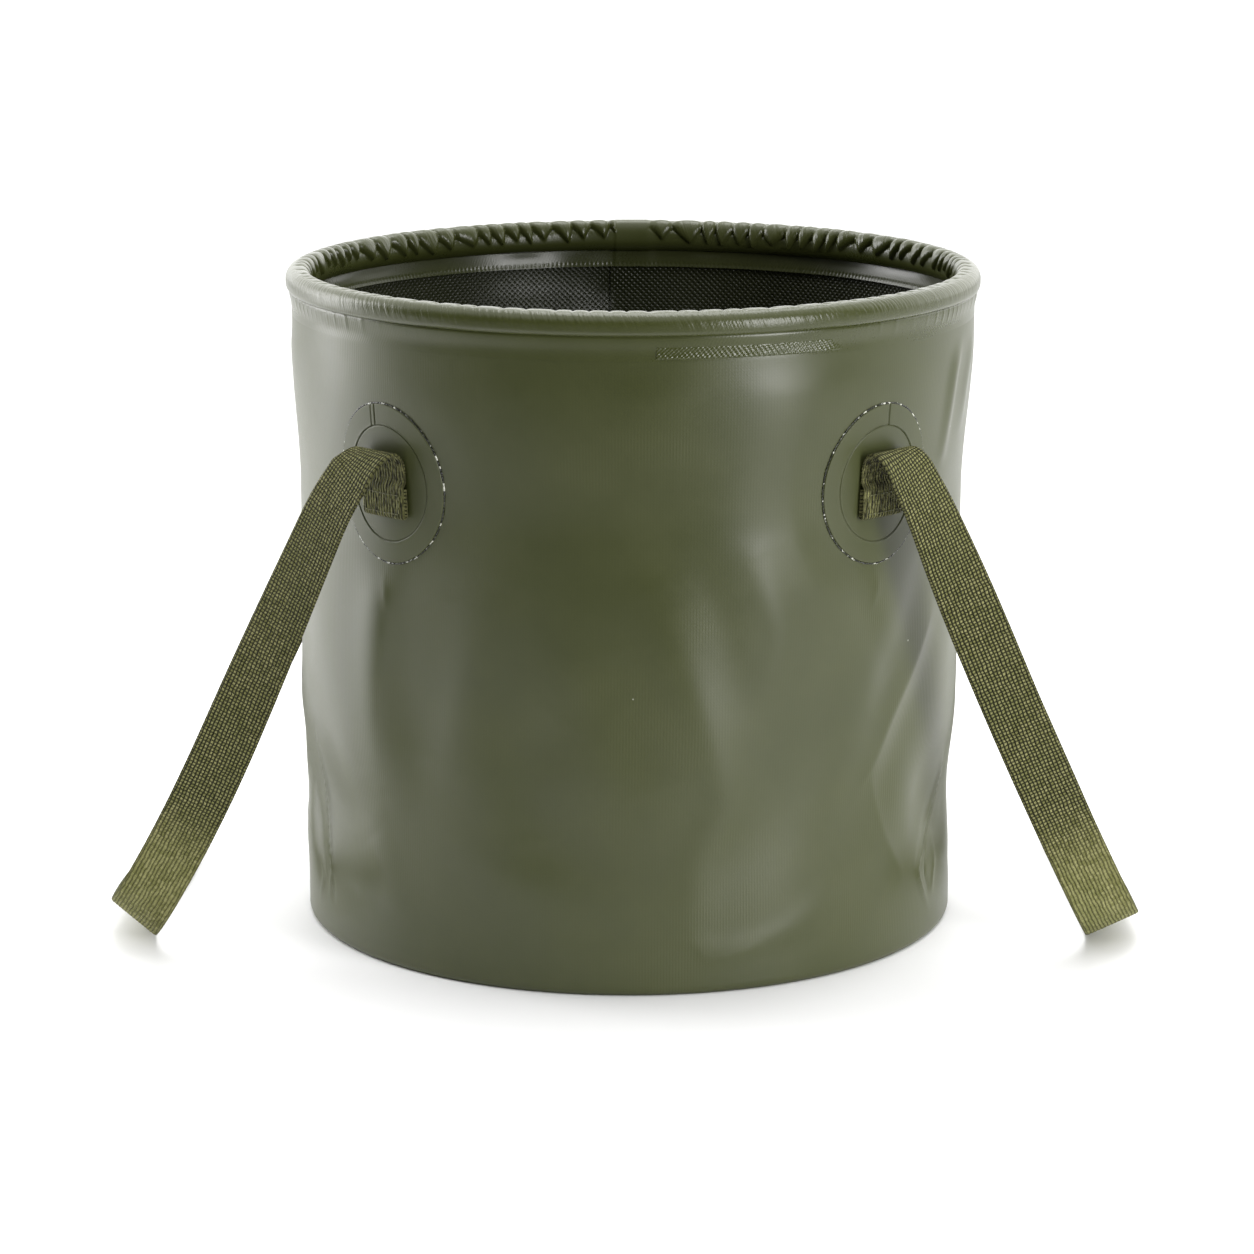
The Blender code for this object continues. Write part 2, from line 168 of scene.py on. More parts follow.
# The wall's relief: its small waves, the front's pinch, and where it fades in and out
wave_rise = 0.00034
front_pinch_relief = 0.0015
relief_foot, relief_foot_fade = 0.008, 0.020
relief_top, relief_top_fade = 0.2695, 0.014

# Below this height the wall's foot rounds in, by this much at the ground
foot_round_height = 0.0026
foot_round_depth = 0.0020

# How far the body's foot stands to the left of its rim
foot_lean = 0.0018

# The sleeve: the slack of its inner side below the hoop, the foot of its flap and its lean inward
inner_sag = 0.0038
visible_flap_foot = 0.2700
flap_lean = 0.0018

# The gathers over the hoop. In degrees round the tube: where a weak tooth ends on the inner side,
# and how much further a strong one runs. In metres: the teeth, the ridges and the valleys between
# them, and the small wrinkles, each with what it gains at the rear or at the right
tooth_end, tooth_reach = 146, 50
tooth_depth, rear_tooth_gain = 0.0012, 0.0006
ridge_rise, rear_ridge_gain = 0.00018, 0.00070
valley_depth, valley_width = 0.00042, 0.20
wrinkle_rise, right_wrinkle_gain = 0.00007, 0.00005
skirt_gather_rise = 0.00028

# The lap of the sleeve's ends at the rear: azimuth and half width in degrees
sleeve_lap_azimuth, sleeve_lap_half = 179.4, 4.2

# The dotted seam along the flap: pitch, depth, and place and width as shares of the flap
seam_pitch, seam_depth = 0.0021, 0.00025
seam_place, seam_width = 0.84, 0.07

# The swell where the tube runs out into the skirt
swell_rise = 0.0010
swell_foot, swell_foot_fade = 0.2745, 0.0075
swell_top, swell_top_fade = 0.2828, 0.0022

# The band of the weld marks on the skirt, and the pitches of their crossing ribs
mark_low, mark_high = 0.2726, 0.2780
rib_pitch, cross_rib_pitch = 0.0022, 0.0017

# A patch's height over the wall, where its ring is pressed in as a share of its radius, and the
# half thickness of the bead of coating along its edge
patch_rise = 0.00052
pressed_ring = 0.724
bead_size = 0.00034

# The thread: the pitch of the stitches, their half length and their half thickness
stitch_pitch = 0.0024
stitch_half_length = 0.00098
stitch_radius = 0.00029

rng = np.random.default_rng(23)
gather_strengths = rng.uniform(0.55, 1.0, 98)
wrinkle_strengths = rng.uniform(0.0, 1.0, 260) ** 1.5


def smooth_step(share):
    """Eases from 0 to 1 as share does, and stays there beyond."""
    share = np.clip(share, 0, 1)
    return share * share * (3 - 2 * share)


def paired(first, second):
    """Two arrays as the coordinates of one grid, such as its cloth coordinates."""
    return np.stack(np.broadcast_arrays(first, second), axis=-1)


def unit(vectors):
    return vectors / np.linalg.norm(vectors, axis=-1, keepdims=True)


def run_along(points):
    """The length along a line up to each of its points."""
    return np.concatenate([[0], np.cumsum(np.linalg.norm(np.diff(points, axis=0), axis=1))])


def full_turn(count):
    """count angles round a circle."""
    return np.linspace(0, math.tau, count, endpoint=False)


def around(azimuth, radius, height):
    """Points at azimuths in radians, radii and heights."""
    azimuth, radius, height = np.broadcast_arrays(azimuth, radius, height)
    return np.stack([radius * np.sin(azimuth), -radius * np.cos(azimuth), height], axis=-1)


def wall_radius(height):
    """Outer radius of the wall without its dents."""
    toe_share = smooth_step((height - base_flange_height) / (toe_height - base_flange_height))
    toe = (waist_radius - base_radius) * toe_share
    flare = (skirt_radius - waist_radius) * smooth_step((height - flare_low_height) / flare_length)
    pinch = pinch_depth * (1 - smooth_step(np.abs(height - pinch_height) / pinch_reach))
    return base_radius + toe + flare - pinch


def leaning(points):
    """The body's foot stands a little to the left of its rim."""
    points[..., 0] -= foot_lean * (1 - smooth_step(points[..., 2] / patch_centre_height))
    return points


def turn_to(azimuth, centre):
    """Degrees from centre to azimuth, the short way."""
    return (azimuth - centre + 180) % 360 - 180


def on_cloth(azimuth, height):
    """Arc length round the waist and height, both in mm."""
    return np.radians(azimuth) * waist_radius * 1000, height * 1000


def smooth_route(points, steps):
    """A smooth line through points, as an array with steps of it from one point to the next."""
    points = np.array(points, float)
    knots = np.vstack([2 * points[0] - points[1], points, 2 * points[-1] - points[-2]])
    share = np.linspace(0, 1, steps, endpoint=False)[:, None]
    pieces = []
    for a, b, c, d in zip(knots, knots[1:], knots[2:], knots[3:]):
        pieces.append(0.5 * (2 * b + (c - a) * share + (2 * a - 5 * b + 4 * c - d) * share**2
                             + (3 * b - a - 3 * c + d) * share**3))
    return np.vstack(pieces + [points[-1:]])


def near_line(across, up, line):
    """Distance of each point from a line, and its share along the line."""
    best = np.full(across.shape, np.inf)
    along = np.zeros(across.shape)
    steps = len(line) - 1
    for i, (start, end) in enumerate(zip(line, line[1:])):
        way = end - start
        share = ((across - start[0]) * way[0] + (up - start[1]) * way[1]) / max(way @ way, 1e-9)
        share = np.clip(share, 0, 1)
        distance = np.hypot(across - start[0] - share * way[0], up - start[1] - share * way[1])
        closer = distance < best
        best = np.where(closer, distance, best)
        along = np.where(closer, (i + share) / steps, along)
    return best, along


def add_fold(relief, azimuth, height, points, width, rise, sharp):
    """Adds one fold to the wall's relief, which is in metres. It fades out 4 widths away.

    A line of only two points gives a broad swelling or hollow, and a longer one thins out at its ends.
    """
    middle = np.mean([point[0] for point in points])
    across, up = on_cloth(turn_to(azimuth, middle), height)
    line = smooth_route([(on_cloth(a - middle, 0)[0], h) for a, h in points], 8)
    reach = np.abs(line[:, 0]).max() + 4 * width
    columns = np.abs(across[0]) < reach
    wide, high = np.broadcast_arrays(across[:, columns], up)
    distance, along = near_line(wide, high, line)
    shape = np.exp(-distance / width) if sharp else np.exp(-((distance / width) ** 2))
    taper = np.sqrt(np.clip(np.sin(np.pi * (0.06 + 0.88 * along)), 0, 1)) if len(points) > 2 else 1
    relief[:, columns] += 0.001 * rise * shape * taper


def other_folds():
    """Folds of the sides and the rear, made the way the front's are."""
    soft, sharp = [], []
    for i in range(22):
        azimuth = 86 + 188 * (i + rng.uniform(0.1, 0.9)) / 22
        height = rng.uniform(45, 190)
        lean, length = rng.uniform(-16, 16), rng.uniform(28, 62)
        points = [(azimuth - lean / 2, height + length / 2),
                  (azimuth + rng.uniform(-2, 2), height + rng.uniform(-4, 4)),
                  (azimuth + lean / 2, height - length / 2)]
        soft.append((points, rng.uniform(7, 13), rng.choice([-1, 1]) * rng.uniform(0.5, 1.3)))
    for azimuth in (-92, 88, 104, 139, 163, 206, 229, 251):
        height = rng.uniform(24, 60)
        lean, length = rng.uniform(-8, 8), rng.uniform(14, 34)
        points = [(azimuth, height + length / 2), (azimuth + lean / 2, height),
                  (azimuth + lean, height - length / 2)]
        sharp.append((points, rng.uniform(1.3, 2.2), rng.uniform(0.4, 1.0)))
    return soft, sharp


def soft_waves(azimuth, height):
    """Small random waves that close round the bucket, between about -1 and 1."""
    total = np.zeros(np.broadcast(azimuth, height).shape)
    for _ in range(36):
        turns = rng.integers(2, 26)
        rise = rng.uniform(-26, 26) / 0.28
        phase = rng.uniform(0, math.tau)
        strength = 1 / (1 + math.hypot(turns, rise * 0.045))
        total = total + strength * np.sin(turns * np.radians(azimuth) + rise * height + phase)
    return total


def clear_of_patches(azimuth, height):
    """0 on the patches and 1 well away from them."""
    clearance = np.ones(np.broadcast(azimuth, height).shape)
    for centre in (patch_azimuth, 180 - patch_azimuth, -patch_azimuth, patch_azimuth - 180):
        across = np.radians(turn_to(azimuth, centre)) * 2 * waist_radius / patch_width
        up = 2 * (height - patch_centre_height) / patch_height
        clearance = np.minimum(clearance, smooth_step((np.hypot(across, up) - 1.03) / 0.55))
    return clearance


def wall_relief(azimuth, height):
    """How far the wall's outer face stands out from its plain radius."""
    relief = np.zeros(np.broadcast(azimuth, height).shape)
    for centre, height_share, half_width, half_height, lean, depth_share in dent_shares:
        rise = height / wall_height - height_share
        turn = turn_to(azimuth, centre + lean * rise)
        relief -= depth_share * dent_depth * np.exp(-((turn / half_width) ** 2) - (rise / half_height) ** 2)
    more_soft, more_sharp = other_folds()
    for points, width, rise in soft_folds + tuple(more_soft):
        add_fold(relief, azimuth, height, points, width, rise, False)
    for points, width, rise in sharp_creases + tuple(more_sharp):
        add_fold(relief, azimuth, height, points, width, rise, True)
    relief += wave_rise * soft_waves(azimuth, height)
    front = smooth_step((np.cos(np.radians(azimuth - 8)) - 0.40) / 0.35)
    relief += front_pinch_relief * front * (1 - smooth_step(np.abs(height - pinch_height) / pinch_reach))
    body = smooth_step((height - relief_foot) / relief_foot_fade)
    body = body * smooth_step((relief_top - height) / relief_top_fade)
    return relief * body * clear_of_patches(azimuth, height)


def mesh_piece(name, points, faces, corners_uv, materials, slots=None):
    """An object from points, four-sided faces and the cloth coordinates of their corners."""
    mesh = bpy.data.meshes.new(name)
    mesh.vertices.add(len(points))
    mesh.vertices.foreach_set("co", np.asarray(points, np.float32).ravel())
    mesh.loops.add(faces.size)
    mesh.loops.foreach_set("vertex_index", faces.astype(np.int32).ravel())
    mesh.polygons.add(len(faces))
    mesh.polygons.foreach_set("loop_start", np.arange(0, faces.size, 4, dtype=np.int32))
    for material in materials:
        mesh.materials.append(material)
    if slots is not None:
        mesh.polygons.foreach_set("material_index", slots.astype(np.int32))
    layer = mesh.uv_layers.new(name="cloth")
    layer.data.foreach_set("uv", np.asarray(corners_uv, np.float32).ravel())
    mesh.update(calc_edges=True)
    mesh.validate()
    mesh.shade_smooth()
    mesh.set_sharp_from_angle(angle=math.radians(48))
    piece = bpy.data.objects.new(name, mesh)
    bpy.context.scene.collection.objects.link(piece)
    return piece


def grid_faces(rows, columns, around_it=False):
    """Corner numbers of a grid's faces as (row, column) pairs."""
    row, column = np.meshgrid(np.arange(rows - 1), np.arange(columns if around_it else columns - 1),
                              indexing="ij")
    row, column = row.ravel(), column.ravel()
    rows_of = np.stack([row, row, row + 1, row + 1], axis=1)
    columns_of = np.stack([column, column + 1, column + 1, column], axis=1)
    return rows_of, columns_of


def shell(name, outer, inner, uv, materials, around_it=False):
    """A closed sheet between two grids of points. uv has one more column when it closes."""
    rows, columns = outer.shape[:2]
    points = np.concatenate([outer.reshape(-1, 3), inner.reshape(-1, 3)])
    rows_of, columns_of = grid_faces(rows, columns, around_it)
    index = rows_of * columns + columns_of % columns
    corner = uv[rows_of, columns_of]
    inner_index = (index + rows * columns)[:, ::-1]
    faces, corners = [index, inner_index], [corner, corner[:, ::-1]]
    slots = [np.zeros(len(index)), np.full(len(index), len(materials) - 1)]
    edge = np.arange(columns if around_it else columns - 1)
    ahead = (edge + 1) % columns
    total = rows * columns
    low = np.stack([edge + total, ahead + total, ahead, edge], axis=1)
    top = (rows - 1) * columns
    high = np.stack([top + edge, top + ahead, total + top + ahead, total + top + edge], axis=1)
    bands = [(low, uv[0][edge], uv[0][edge + 1]), (high, uv[-1][edge], uv[-1][edge + 1])]
    if not around_it:
        side = np.arange(rows - 1) * columns
        left = np.stack([side, side + columns, side + columns + total, side + total], axis=1)
        right = left[:, ::-1] + columns - 1
        bands += [(left, uv[:-1, 0], uv[1:, 0]), (right, uv[:-1, -1], uv[1:, -1])]
    for band, here, there in bands:
        faces.append(band)
        corners.append(np.stack([here, there, there, here], axis=1))
        slots.append(np.zeros(len(band)))
    return mesh_piece(name, points, np.concatenate(faces), np.concatenate(corners), materials,
                      np.concatenate(slots))


def strip(name, points, uv, materials, flipped=False):
    """A closed band from a grid whose columns go round its section, with both ends shut.

    The first half of the columns takes the first material, and the rest the last one.
    """
    rows, columns = points.shape[:2]
    rows_of, columns_of = grid_faces(rows, columns, True)
    faces = rows_of * columns + columns_of % columns
    corners = uv[rows_of, columns_of % columns]
    half = np.arange(columns // 2 - 1)
    cap = np.stack([half, columns - 1 - half, columns - 2 - half, half + 1], axis=1)
    last = cap[:, ::-1] + (rows - 1) * columns
    flat = uv.reshape(-1, 2)
    slots = (columns_of[:, 0] >= columns // 2) * (len(materials) - 1)
    slots = np.concatenate([slots, np.zeros(len(cap) + len(last))])
    faces = np.concatenate([faces, cap, last])
    corners = np.concatenate([corners, flat[cap], flat[last]])
    if flipped:
        faces, corners = faces[:, ::-1], corners[:, ::-1]
    return mesh_piece(name, points.reshape(-1, 3), faces, corners, materials, slots)


def give(tree, socket, value):
    """Links a socket to another one, or sets it to a value."""
    if isinstance(value, bpy.types.NodeSocket):
        tree.links.new(value, socket)
    else:
        socket.default_value = value


def node(tree, kind, inputs=None, **settings):
    """A shader node. inputs are linked where they are sockets, and set where they are values."""
    made = tree.nodes.new("ShaderNode" + kind)
    for key, value in settings.items():
        setattr(made, key, value)
    for key, value in (inputs or {}).items():
        give(tree, made.inputs[key], value)
    return made


def math_of(tree, operation, *values):
    """The result of a Math node on sockets or numbers."""
    return node(tree, "Math", dict(enumerate(values)), operation=operation).outputs[0]


def times(tree, first, second):
    return math_of(tree, "MULTIPLY", first, second)


def minus(tree, first, second):
    return math_of(tree, "SUBTRACT", first, second)


def noise(tree, place, scale, detail):
    return node(tree, "TexNoise", {"Vector": place, "Scale": scale, "Detail": detail}).outputs[0]


def ramp(tree, value, low, high, to_low=0.0, to_high=1.0):
    """value eased from low..high to to_low..to_high."""
    ends = {0: value, 1: low, 2: high, 3: to_low, 4: to_high}
    return node(tree, "MapRange", ends, interpolation_type="SMOOTHSTEP").outputs[0]


def mixed(tree, share, first, second):
    """A colour between two."""
    return node(tree, "Mix", {0: share, 6: first, 7: second}, data_type="RGBA").outputs[2]


def new_group(name, inputs, outputs):
    """An empty node group with named inputs and outputs, and the sockets of its two end nodes."""
    tree = bpy.data.node_groups.new(name, "ShaderNodeTree")
    for key, kind, value in inputs:
        made = tree.interface.new_socket(name=key, in_out="INPUT", socket_type="NodeSocket" + kind)
        if value is not None:
            made.default_value = value
    for key in outputs:
        tree.interface.new_socket(name=key, in_out="OUTPUT", socket_type="NodeSocketFloat")
    return tree, tree.nodes.new("NodeGroupInput").outputs, tree.nodes.new("NodeGroupOutput").inputs


def placed(tree, group, inputs):
    """A node group placed in a material with its own values."""
    return node(tree, "Group", inputs, node_tree=group).outputs


def away_from_middle(tree, value):
    """0 at the middle of each unit cell of value, and 1 at its edges."""
    from_middle = minus(tree, math_of(tree, "FRACT", value), 0.5)
    return times(tree, math_of(tree, "ABSOLUTE", from_middle), 2.0)


def woven_relief_group():
    """Webbing: yarn tops with pits in lines between them, or only lengthwise ribs.

    Pit also marks where the webbing's colour is painted dark, as painted shade.
    """
    tree, given, result = new_group(
        "woven relief",
        [("Cloth", "Vector", None), ("Pitch Along", "Float", 0.0016), ("Pitch Across", "Float", 0.0016),
         ("Ribbed", "Float", 0.0)],
        ["Height", "Pit", "Yarn"],
    )
    wobble = times(tree, minus(tree, noise(tree, given["Cloth"], 230.0, 2.0), 0.5), 0.80)
    apart = node(tree, "SeparateXYZ", {0: given["Cloth"]}).outputs
    along = math_of(tree, "ADD", math_of(tree, "DIVIDE", apart[0], given["Pitch Along"]), wobble)
    across = math_of(tree, "ADD", math_of(tree, "DIVIDE", apart[1], given["Pitch Across"]), wobble)
    side, way = away_from_middle(tree, across), away_from_middle(tree, along)
    between_columns = ramp(tree, side, 0.40, 0.95, 1.0, 0.0)
    between_rows = ramp(tree, way, 0.40, 0.98, 1.0, 0.14)
    pit = minus(tree, 1.0, times(tree, between_columns, between_rows))
    rib_pit = times(tree, ramp(tree, side, 0.35, 1.0), 0.48)
    pit = math_of(tree, "MULTIPLY_ADD", minus(tree, rib_pit, pit), given["Ribbed"], pit)
    cell = node(tree, "CombineXYZ", {0: math_of(tree, "FLOOR", along), 1: math_of(tree, "FLOOR", across)})
    yarn = node(tree, "TexWhiteNoise", {"Vector": cell.outputs[0]}, noise_dimensions="3D").outputs[0]
    crown = times(tree, times(tree, side, way), 0.35)
    height = minus(tree, minus(tree, 1.0, pit), crown)
    tree.links.new(math_of(tree, "MULTIPLY_ADD", yarn, 0.16, height), result["Height"])
    tree.links.new(pit, result["Pit"])
    tree.links.new(yarn, result["Yarn"])
    return tree


def scrim_relief_group():
    """The scrim of crossed threads that shows through a coating, square or as diamonds."""
    tree, given, result = new_group(
        "scrim relief",
        [("Cloth", "Vector", None), ("Pitch", "Float", 0.0013), ("Turn", "Float", 0.0)],
        ["Height", "Thread"],
    )
    turned = node(tree, "VectorRotate", {"Vector": given["Cloth"], "Angle": given["Turn"]},
                  rotation_type="Z_AXIS")
    apart = node(tree, "SeparateXYZ", {0: turned.outputs[0]}).outputs
    first = away_from_middle(tree, math_of(tree, "DIVIDE", apart[0], given["Pitch"]))
    second = away_from_middle(tree, math_of(tree, "DIVIDE", apart[1], given["Pitch"]))
    hollow = times(tree, ramp(tree, first, 0.2, 0.9), ramp(tree, second, 0.2, 0.9))
    tree.links.new(minus(tree, 1.0, hollow), result["Height"])
    tree.links.new(ramp(tree, first, 0.1, 0.8, 1.0, 0.0), result["Thread"])
    return tree


def handled_group():
    """What use leaves on a surface: broad cloudy wear, a fine grain and small specks of lint."""
    tree, given, result = new_group(
        "handled surface",
        [("Place", "Vector", None), ("Cloud Scale", "Float", 14.0), ("Grain Scale", "Float", 900.0),
         ("Speck Scale", "Float", 110.0), ("Speck Size", "Float", 0.05)],
        ["Cloud", "Grain", "Speck"],
    )
    cloud = node(tree, "TexNoise", {"Vector": given["Place"], "Scale": given["Cloud Scale"],
                                    "Detail": 5.0, "Roughness": 0.6})
    grain = noise(tree, given["Place"], given["Grain Scale"], 2.0)
    cells = node(tree, "TexVoronoi", {"Vector": given["Place"], "Scale": given["Speck Scale"],
                                      "Randomness": 1.0})
    near = math_of(tree, "LESS_THAN", cells.outputs["Distance"], given["Speck Size"])
    red = node(tree, "SeparateColor", {0: cells.outputs["Color"]}).outputs[0]
    speck = times(tree, near, math_of(tree, "GREATER_THAN", red, 0.975))
    tree.links.new(cloud.outputs[0], result["Cloud"])
    tree.links.new(grain, result["Grain"])
    tree.links.new(speck, result["Speck"])
    return tree


def fine_wrinkles_group():
    """Fine slanting wrinkles that the gathering leaves over the rim's tube."""
    tree, given, result = new_group(
        "fine wrinkles",
        [("Cloth", "Vector", None), ("Pitch", "Float", 0.0017), ("Length", "Float", 0.010),
         ("Slant", "Float", 0.45)],
        ["Height"],
    )
    apart = node(tree, "SeparateXYZ", {0: given["Cloth"]}).outputs
    slanted = math_of(tree, "MULTIPLY_ADD", apart[1], given["Slant"], apart[0])
    way = node(tree, "CombineXYZ", {0: math_of(tree, "DIVIDE", slanted, given["Pitch"]),
                                    1: math_of(tree, "DIVIDE", apart[1], given["Length"])})
    # They lie on the tube only, and stop short of the smooth lap at the rear
    above_skirt = ramp(tree, apart[1], 0.0125, 0.0165)
    below_flap = ramp(tree, apart[1], 0.030, 0.034, 1.0, 0.0)
    before_lap = ramp(tree, math_of(tree, "ABSOLUTE", apart[0]), 0.440, 0.455, 1.0, 0.0)
    on_tube = times(tree, times(tree, above_skirt, below_flap), before_lap)
    lines = ramp(tree, noise(tree, way.outputs[0], 1.0, 1.0), 0.32, 0.68)
    tree.links.new(times(tree, lines, on_tube), result["Height"])
    return tree


woven_relief = woven_relief_group()
fine_wrinkles = fine_wrinkles_group()
scrim_relief = scrim_relief_group()
handled = handled_group()


def new_material(name, **values):
    """A material and its tree, its shader and its object coordinates."""
    material = bpy.data.materials.new(name)
    material.use_nodes = True
    tree = material.node_tree
    shader = tree.nodes["Principled BSDF"]
    for key, value in values.items():
        shader.inputs[key.replace("_", " ")].default_value = value
    place = node(tree, "TexCoord").outputs["Object"]
    return material, tree, shader, place


def dressed(tree, shader, colour, rough, height, distance):
    """Gives a shader its colour, its roughness and its relief."""
    give(tree, shader.inputs["Base Color"], colour)
    give(tree, shader.inputs["Roughness"], rough)
    bump = node(tree, "Bump", {"Height": height, "Distance": distance})
    give(tree, shader.inputs["Normal"], bump.outputs[0])


def cloth_coordinates(tree):
    """Metres along and across a piece's cloth."""
    return node(tree, "UVMap", uv_map="cloth").outputs[0]


def coated_sheet(name, colours, roughness, scrim, relief_depth, wrinkled=False):
    """Coated polyester sheet: satin, with the scrim and a fine grain in its relief.

    colours are the coating's dark and light colour and its lint's. scrim gives the pitch, the turn
    and the strength of the scrim's grid.
    """
    dark, light, lint = colours
    material, tree, shader, place = new_material(name, IOR=1.5)
    cloth = cloth_coordinates(tree)
    use = placed(tree, handled, {"Place": place})
    grid = placed(tree, scrim_relief, {"Cloth": cloth, "Pitch": scrim[0], "Turn": scrim[1]})
    colour = mixed(tree, ramp(tree, use["Cloud"], 0.3, 0.7), dark, light)
    colour = mixed(tree, times(tree, use["Speck"], 0.6), colour, lint)
    rough = ramp(tree, use["Cloud"], 0.25, 0.75, roughness - 0.035, roughness + 0.045)
    rough = math_of(tree, "MULTIPLY_ADD", use["Grain"], 0.05, rough)
    grain = times(tree, use["Grain"], 0.22)
    worn = ramp(tree, use["Cloud"], 0.50, 0.62, 0.15, 0.9)
    grain = math_of(tree, "MULTIPLY_ADD", times(tree, grid["Thread"], worn), 0.5, grain)
    height = math_of(tree, "MULTIPLY_ADD", grid["Height"], scrim[2], grain)
    if wrinkled:
        wrinkle = placed(tree, fine_wrinkles, {"Cloth": cloth})
        height = math_of(tree, "MULTIPLY_ADD", wrinkle["Height"], 1.7, height)
    dressed(tree, shader, colour, rough, height, relief_depth)
    return material


def webbing_material(name, is_back):
    """Olive webbing.

    The face has yarn tops with painted shade in the lines between them, and lengthwise ribs near the
    middle of the loop, which lies on the ground. The back has ribs only, with near-black streaks that
    are partly its mottled weave and partly painted shade, and is light along its hem. Both are painted
    darker towards their edges, as painted shade.
    """
    material, tree, shader, place = new_material(name, IOR=1.45, Sheen_Weight=0.06, Sheen_Roughness=0.5)
    shader.inputs["Sheen Tint"].default_value = (0.55, 0.55, 0.35, 1)
    shader.inputs["Specular IOR Level"].default_value = 0.22
    cloth = cloth_coordinates(tree)
    apart = node(tree, "SeparateXYZ", {0: cloth}).outputs
    from_middle = math_of(tree, "ABSOLUTE", minus(tree, apart[0], route_length / 2))
    ribbed = 0.9 if is_back else ramp(tree, from_middle, 0.100, 0.142, 0.9, 0.0)
    weave = placed(tree, woven_relief, {"Cloth": cloth, "Pitch Along": 0.00160,
                                        "Pitch Across": webbing_width / 15.5, "Ribbed": ribbed})
    use = placed(tree, handled, {"Place": place, "Cloud Scale": 26.0, "Grain Scale": 2200.0})
    top = mixed(tree, weave["Yarn"], (0.150, 0.150, 0.046, 1), (0.310, 0.300, 0.132, 1))
    top = mixed(tree, ramp(tree, use["Cloud"], 0.3, 0.7, 0.0, 0.7), top, (0.195, 0.200, 0.073, 1))
    if is_back:
        streaks = node(tree, "VectorMath", {0: cloth, 1: (260, 1400, 1)}, operation="MULTIPLY").outputs[0]
        # The back's near-black streaks: partly its mottled weave, partly painted shade
        streaks_and_shade = ramp(tree, noise(tree, streaks, 1.0, 2.0), 0.38, 0.62)
        top = mixed(tree, streaks_and_shade, (0.018, 0.018, 0.008, 1), top)
        hem = math_of(tree, "ABSOLUTE", math_of(tree, "ADD", apart[0], hem_run))
        top = mixed(tree, ramp(tree, hem, 0.0007, 0.0016, 0.8, 0.0), top, (0.26, 0.26, 0.12, 1))
    half = webbing_width / 2
    # Painted shade: the webbing is painted darker towards both edges
    edge = ramp(tree, math_of(tree, "ABSOLUTE", apart[1]), half * 0.93, half * 0.97, 0.0, 0.65)
    top = mixed(tree, edge, top, (0.045, 0.045, 0.016, 1))
    # Painted shade: the pits between the yarns are painted nearly black
    colour = mixed(tree, times(tree, weave["Pit"], 0.96), top, (0.0075, 0.0080, 0.0025, 1))
    rough = ramp(tree, use["Grain"], 0.3, 0.7, 0.72, 0.9)
    height = math_of(tree, "MULTIPLY_ADD", use["Grain"], 0.18, weave["Height"])
    dressed(tree, shader, colour, rough, height, 0.0008)
    return material


def thread_material():
    material, tree, shader, place = new_material("thread", IOR=1.45)
    twist = noise(tree, place, 2600.0, 1.0)
    colour = mixed(tree, twist, (0.085, 0.088, 0.035, 1), (0.16, 0.16, 0.072, 1))
    dressed(tree, shader, colour, ramp(tree, twist, 0.3, 0.7, 0.5, 0.75), twist, 0.0001)
    return material


def weld_bead_material():
    """The thin line of coating that is squeezed out along a weld: wet-looking and uneven.

    Its colour is near black as painted shade along the patch's edge, with near-white specks as painted
    glints.
    """
    material, tree, shader, place = new_material("weld bead", IOR=1.5)
    lumps, glints = noise(tree, place, 700.0, 3.0), noise(tree, place, 430.0, 2.0)
    # Painted shade: the bead's colour is near black. Painted highlight: near-white glints in its colour
    colour = mixed(tree, ramp(tree, lumps, 0.4, 0.65), (0.005, 0.006, 0.003, 1), (0.026, 0.029, 0.014, 1))
    colour = mixed(tree, ramp(tree, glints, 0.57, 0.65), colour, (0.66, 0.67, 0.58, 1))
    dressed(tree, shader, colour, ramp(tree, lumps, 0.35, 0.65, 0.08, 0.30), lumps, 0.0006)
    return material


def hoop_material():
    material, tree, shader, place = new_material("hoop tube", IOR=1.49)
    use = placed(tree, handled, {"Place": place, "Cloud Scale": 40.0, "Grain Scale": 1500.0})
    colour = mixed(tree, use["Cloud"], (0.022, 0.024, 0.020, 1), (0.045, 0.047, 0.040, 1))
    dressed(tree, shader, colour, ramp(tree, use["Grain"], 0.3, 0.7, 0.38, 0.52), use["Grain"], 0.0001)
    return material


def build_wall():
    """One lapped sheet. Its foot rounds in to the base, and its top tucks under the rim's skirt."""
    first = -180 - math.degrees(lap_outer_end / waist_radius)
    last = 180 + math.degrees(lap_inner_end / waist_radius)
    lapped = -180 + math.degrees(lap_inner_end / waist_radius)
    step_turn = math.degrees(lap_step_length / waist_radius)
    low = np.array([0, 0.0004, 0.0009, 0.0016, foot_round_height])
    body = np.linspace(0.004, wall_height - 0.003, 186)
    high = wall_height - 0.003 + np.array([0.0012, 0.002, 0.0025, 0.0028, 0.003, 0.0045, 0.008])
    height = np.concatenate([low, body, high])[:, None]
    azimuth = np.linspace(first, last, 640)[None, :]
    lap = (sheet_thickness + fit_gap) * (1 - smooth_step((azimuth - lapped) / step_turn))
    covered = np.minimum(height, wall_height)
    radius = wall_radius(covered) + lap + wall_relief(azimuth, covered)
    foot = np.clip(1 - height / foot_round_height, 0, 1)
    radius = radius - foot_round_depth * foot**2
    # The top edge runs in under the skirt and thins out there
    tuck = smooth_step((height - wall_height - 0.0004) / 0.0036)
    radius = radius * (1 - tuck) + (skirt_radius - sheet_thickness - 0.00005 + lap * 0.2) * tuck
    thickness = sheet_thickness * (1 - 0.6 * tuck)
    outer = leaning(around(np.radians(azimuth), radius, height))
    inner = leaning(around(np.radians(azimuth), radius - thickness, height))
    uv = paired(np.radians(azimuth) * waist_radius, height)
    wall = shell("wall", outer, inner, uv, [outside_sheet, inside_sheet])
    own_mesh(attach(wall, "bucket_base"))
    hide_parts("wall_panel")


